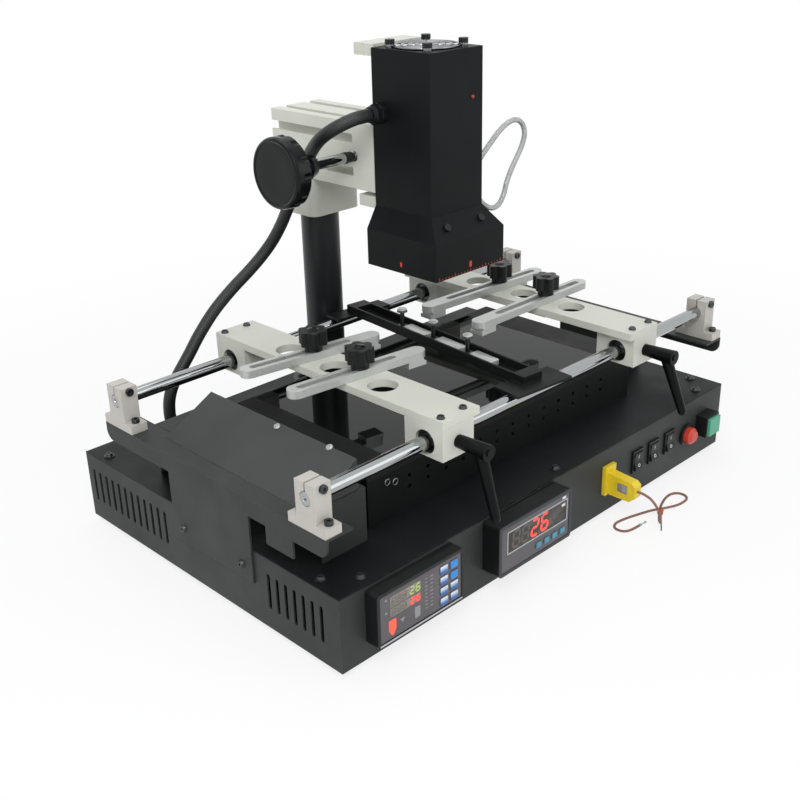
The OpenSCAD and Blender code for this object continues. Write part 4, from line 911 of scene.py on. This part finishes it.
def add_plug_trim():
    """Raised rim and two plain plates on the left face of the probe plug."""
    place = put((64.0, -197.5, 39.5), LEFT)
    bm = bmesh.new()
    rim(bm, place, rounded(14.0, 12.0, 1.5, 0), rounded(11.0, 9.0, 0.8, 0), 0.7)
    piece("plug_rim", bm, "yellow", "base")
    bm = bmesh.new()
    pad(bm, place, 10.8, 8.8, 0.7, 0.25, 0.1)
    pad(bm, put((63.75, -197.0, 39.5), LEFT), 5.6, 8.0, 0.6, 0.25, 0.1)
    piece("plug_plate", bm, "print", "base")


add_left_displays()
add_left_marks()
add_left_keys()
add_right_meter()
add_rocker_marks()
add_head_marks()
add_head_fittings()
add_rods()
add_heater_trim()
add_support_trim()
add_knob_caps()
add_deck_trim()
add_plug_trim()


# Floor and light
FLOOR_HALF = 6.0
WHITE_NEAR, WHITE_FAR = 0.4, 0.9      # distance at which the floor begins to turn and is white
NEAR_SHARE = 0.8                      # share of white in the floor under the object
AMBIENT = 0.55
AMBIENT_COLOUR = (0.96, 0.98, 1.0, 1)
WHITE = (1, 1, 1, 1)

# Name, place, aim, width and power of each lamp
LAMPS = (
    ("key", (-0.85, -0.75, 1.15), (0.0, 0.0, 0.15), 0.8, 11.0),
    ("fill", (0.9, -1.9, 0.9), (0.0, 0.0, 0.12), 1.5, 6.0),
    ("top", (0.1, 0.5, 2.2), (0.0, 0.0, 0.1), 1.6, 9.0),
)


def add_floor():
    """Pale floor that keeps the object's shadow and turns white away from it."""
    bm = bmesh.new()
    bmesh.ops.create_grid(bm, x_segments=8, y_segments=8, size=FLOOR_HALF)
    mesh = bpy.data.meshes.new("floor")
    bm.to_mesh(mesh)
    bm.free()
    floor = bpy.data.objects.new("floor", mesh)
    scene.collection.objects.link(floor)
    p = Paint("floor")
    p.set(Base_Color=p.mix(p.noise(3.0), linear("f2f2f1"), linear("f7f7f6")), Roughness=0.8)
    ray = p.add("ShaderNodeLightPath")
    seen = p.math("MAXIMUM", ray.outputs["Is Camera Ray"], ray.outputs["Is Glossy Ray"])
    seen = p.math("MAXIMUM", seen, ray.outputs["Is Transmission Ray"])
    white = p.add("ShaderNodeEmission", Color=WHITE, Strength=1.0)
    both = p.tree.nodes.new("ShaderNodeMixShader")
    away = p.tree.nodes.new("ShaderNodeVectorMath")
    away.operation = "LENGTH"
    p.put(away, "0", p.coords())
    share = p.span(away.outputs["Value"], WHITE_NEAR, WHITE_FAR, NEAR_SHARE, 1.0)
    p.put(both, "0", p.math("MULTIPLY", seen, share))
    p.put(both, "1", p.bsdf.outputs[0])
    p.put(both, "2", white.outputs[0])
    p.put(p.tree.nodes["Material Output"], "Surface", both.outputs[0])
    mesh.materials.append(p.material)


def add_world():
    """Soft light from all round, seen as plain white by the camera, metal and glass."""
    world = bpy.data.worlds.new("studio")
    scene.world = world
    world.use_nodes = True
    tree = world.node_tree
    ray = tree.nodes.new("ShaderNodeLightPath")
    back = tree.nodes["Background"]
    back.inputs["Color"].default_value = AMBIENT_COLOUR
    back.inputs["Strength"].default_value = AMBIENT
    white = tree.nodes.new("ShaderNodeBackground")
    white.inputs["Color"].default_value = WHITE
    white.inputs["Strength"].default_value = 1.0
    seen = ray.outputs["Is Camera Ray"]
    for name in ("Is Glossy Ray", "Is Transmission Ray"):
        either = tree.nodes.new("ShaderNodeMath")
        either.operation = "MAXIMUM"
        tree.links.new(seen, either.inputs[0])
        tree.links.new(ray.outputs[name], either.inputs[1])
        seen = either.outputs[0]
    both = tree.nodes.new("ShaderNodeMixShader")
    tree.links.new(seen, both.inputs[0])
    tree.links.new(back.outputs[0], both.inputs[1])
    tree.links.new(white.outputs[0], both.inputs[2])
    tree.links.new(both.outputs[0], tree.nodes["World Output"].inputs["Surface"])


def add_lamp(name, at, aim, size, power):
    data = bpy.data.lights.new(name, "AREA")
    data.shape = "DISK"
    data.size = size
    data.energy = power
    lamp = bpy.data.objects.new(name, data)
    lamp.location = at
    lamp.rotation_euler = (Vector(aim) - Vector(at)).to_track_quat("-Z", "Y").to_euler()
    scene.collection.objects.link(lamp)


add_floor()
add_world()
for lamp in LAMPS:
    add_lamp(*lamp)
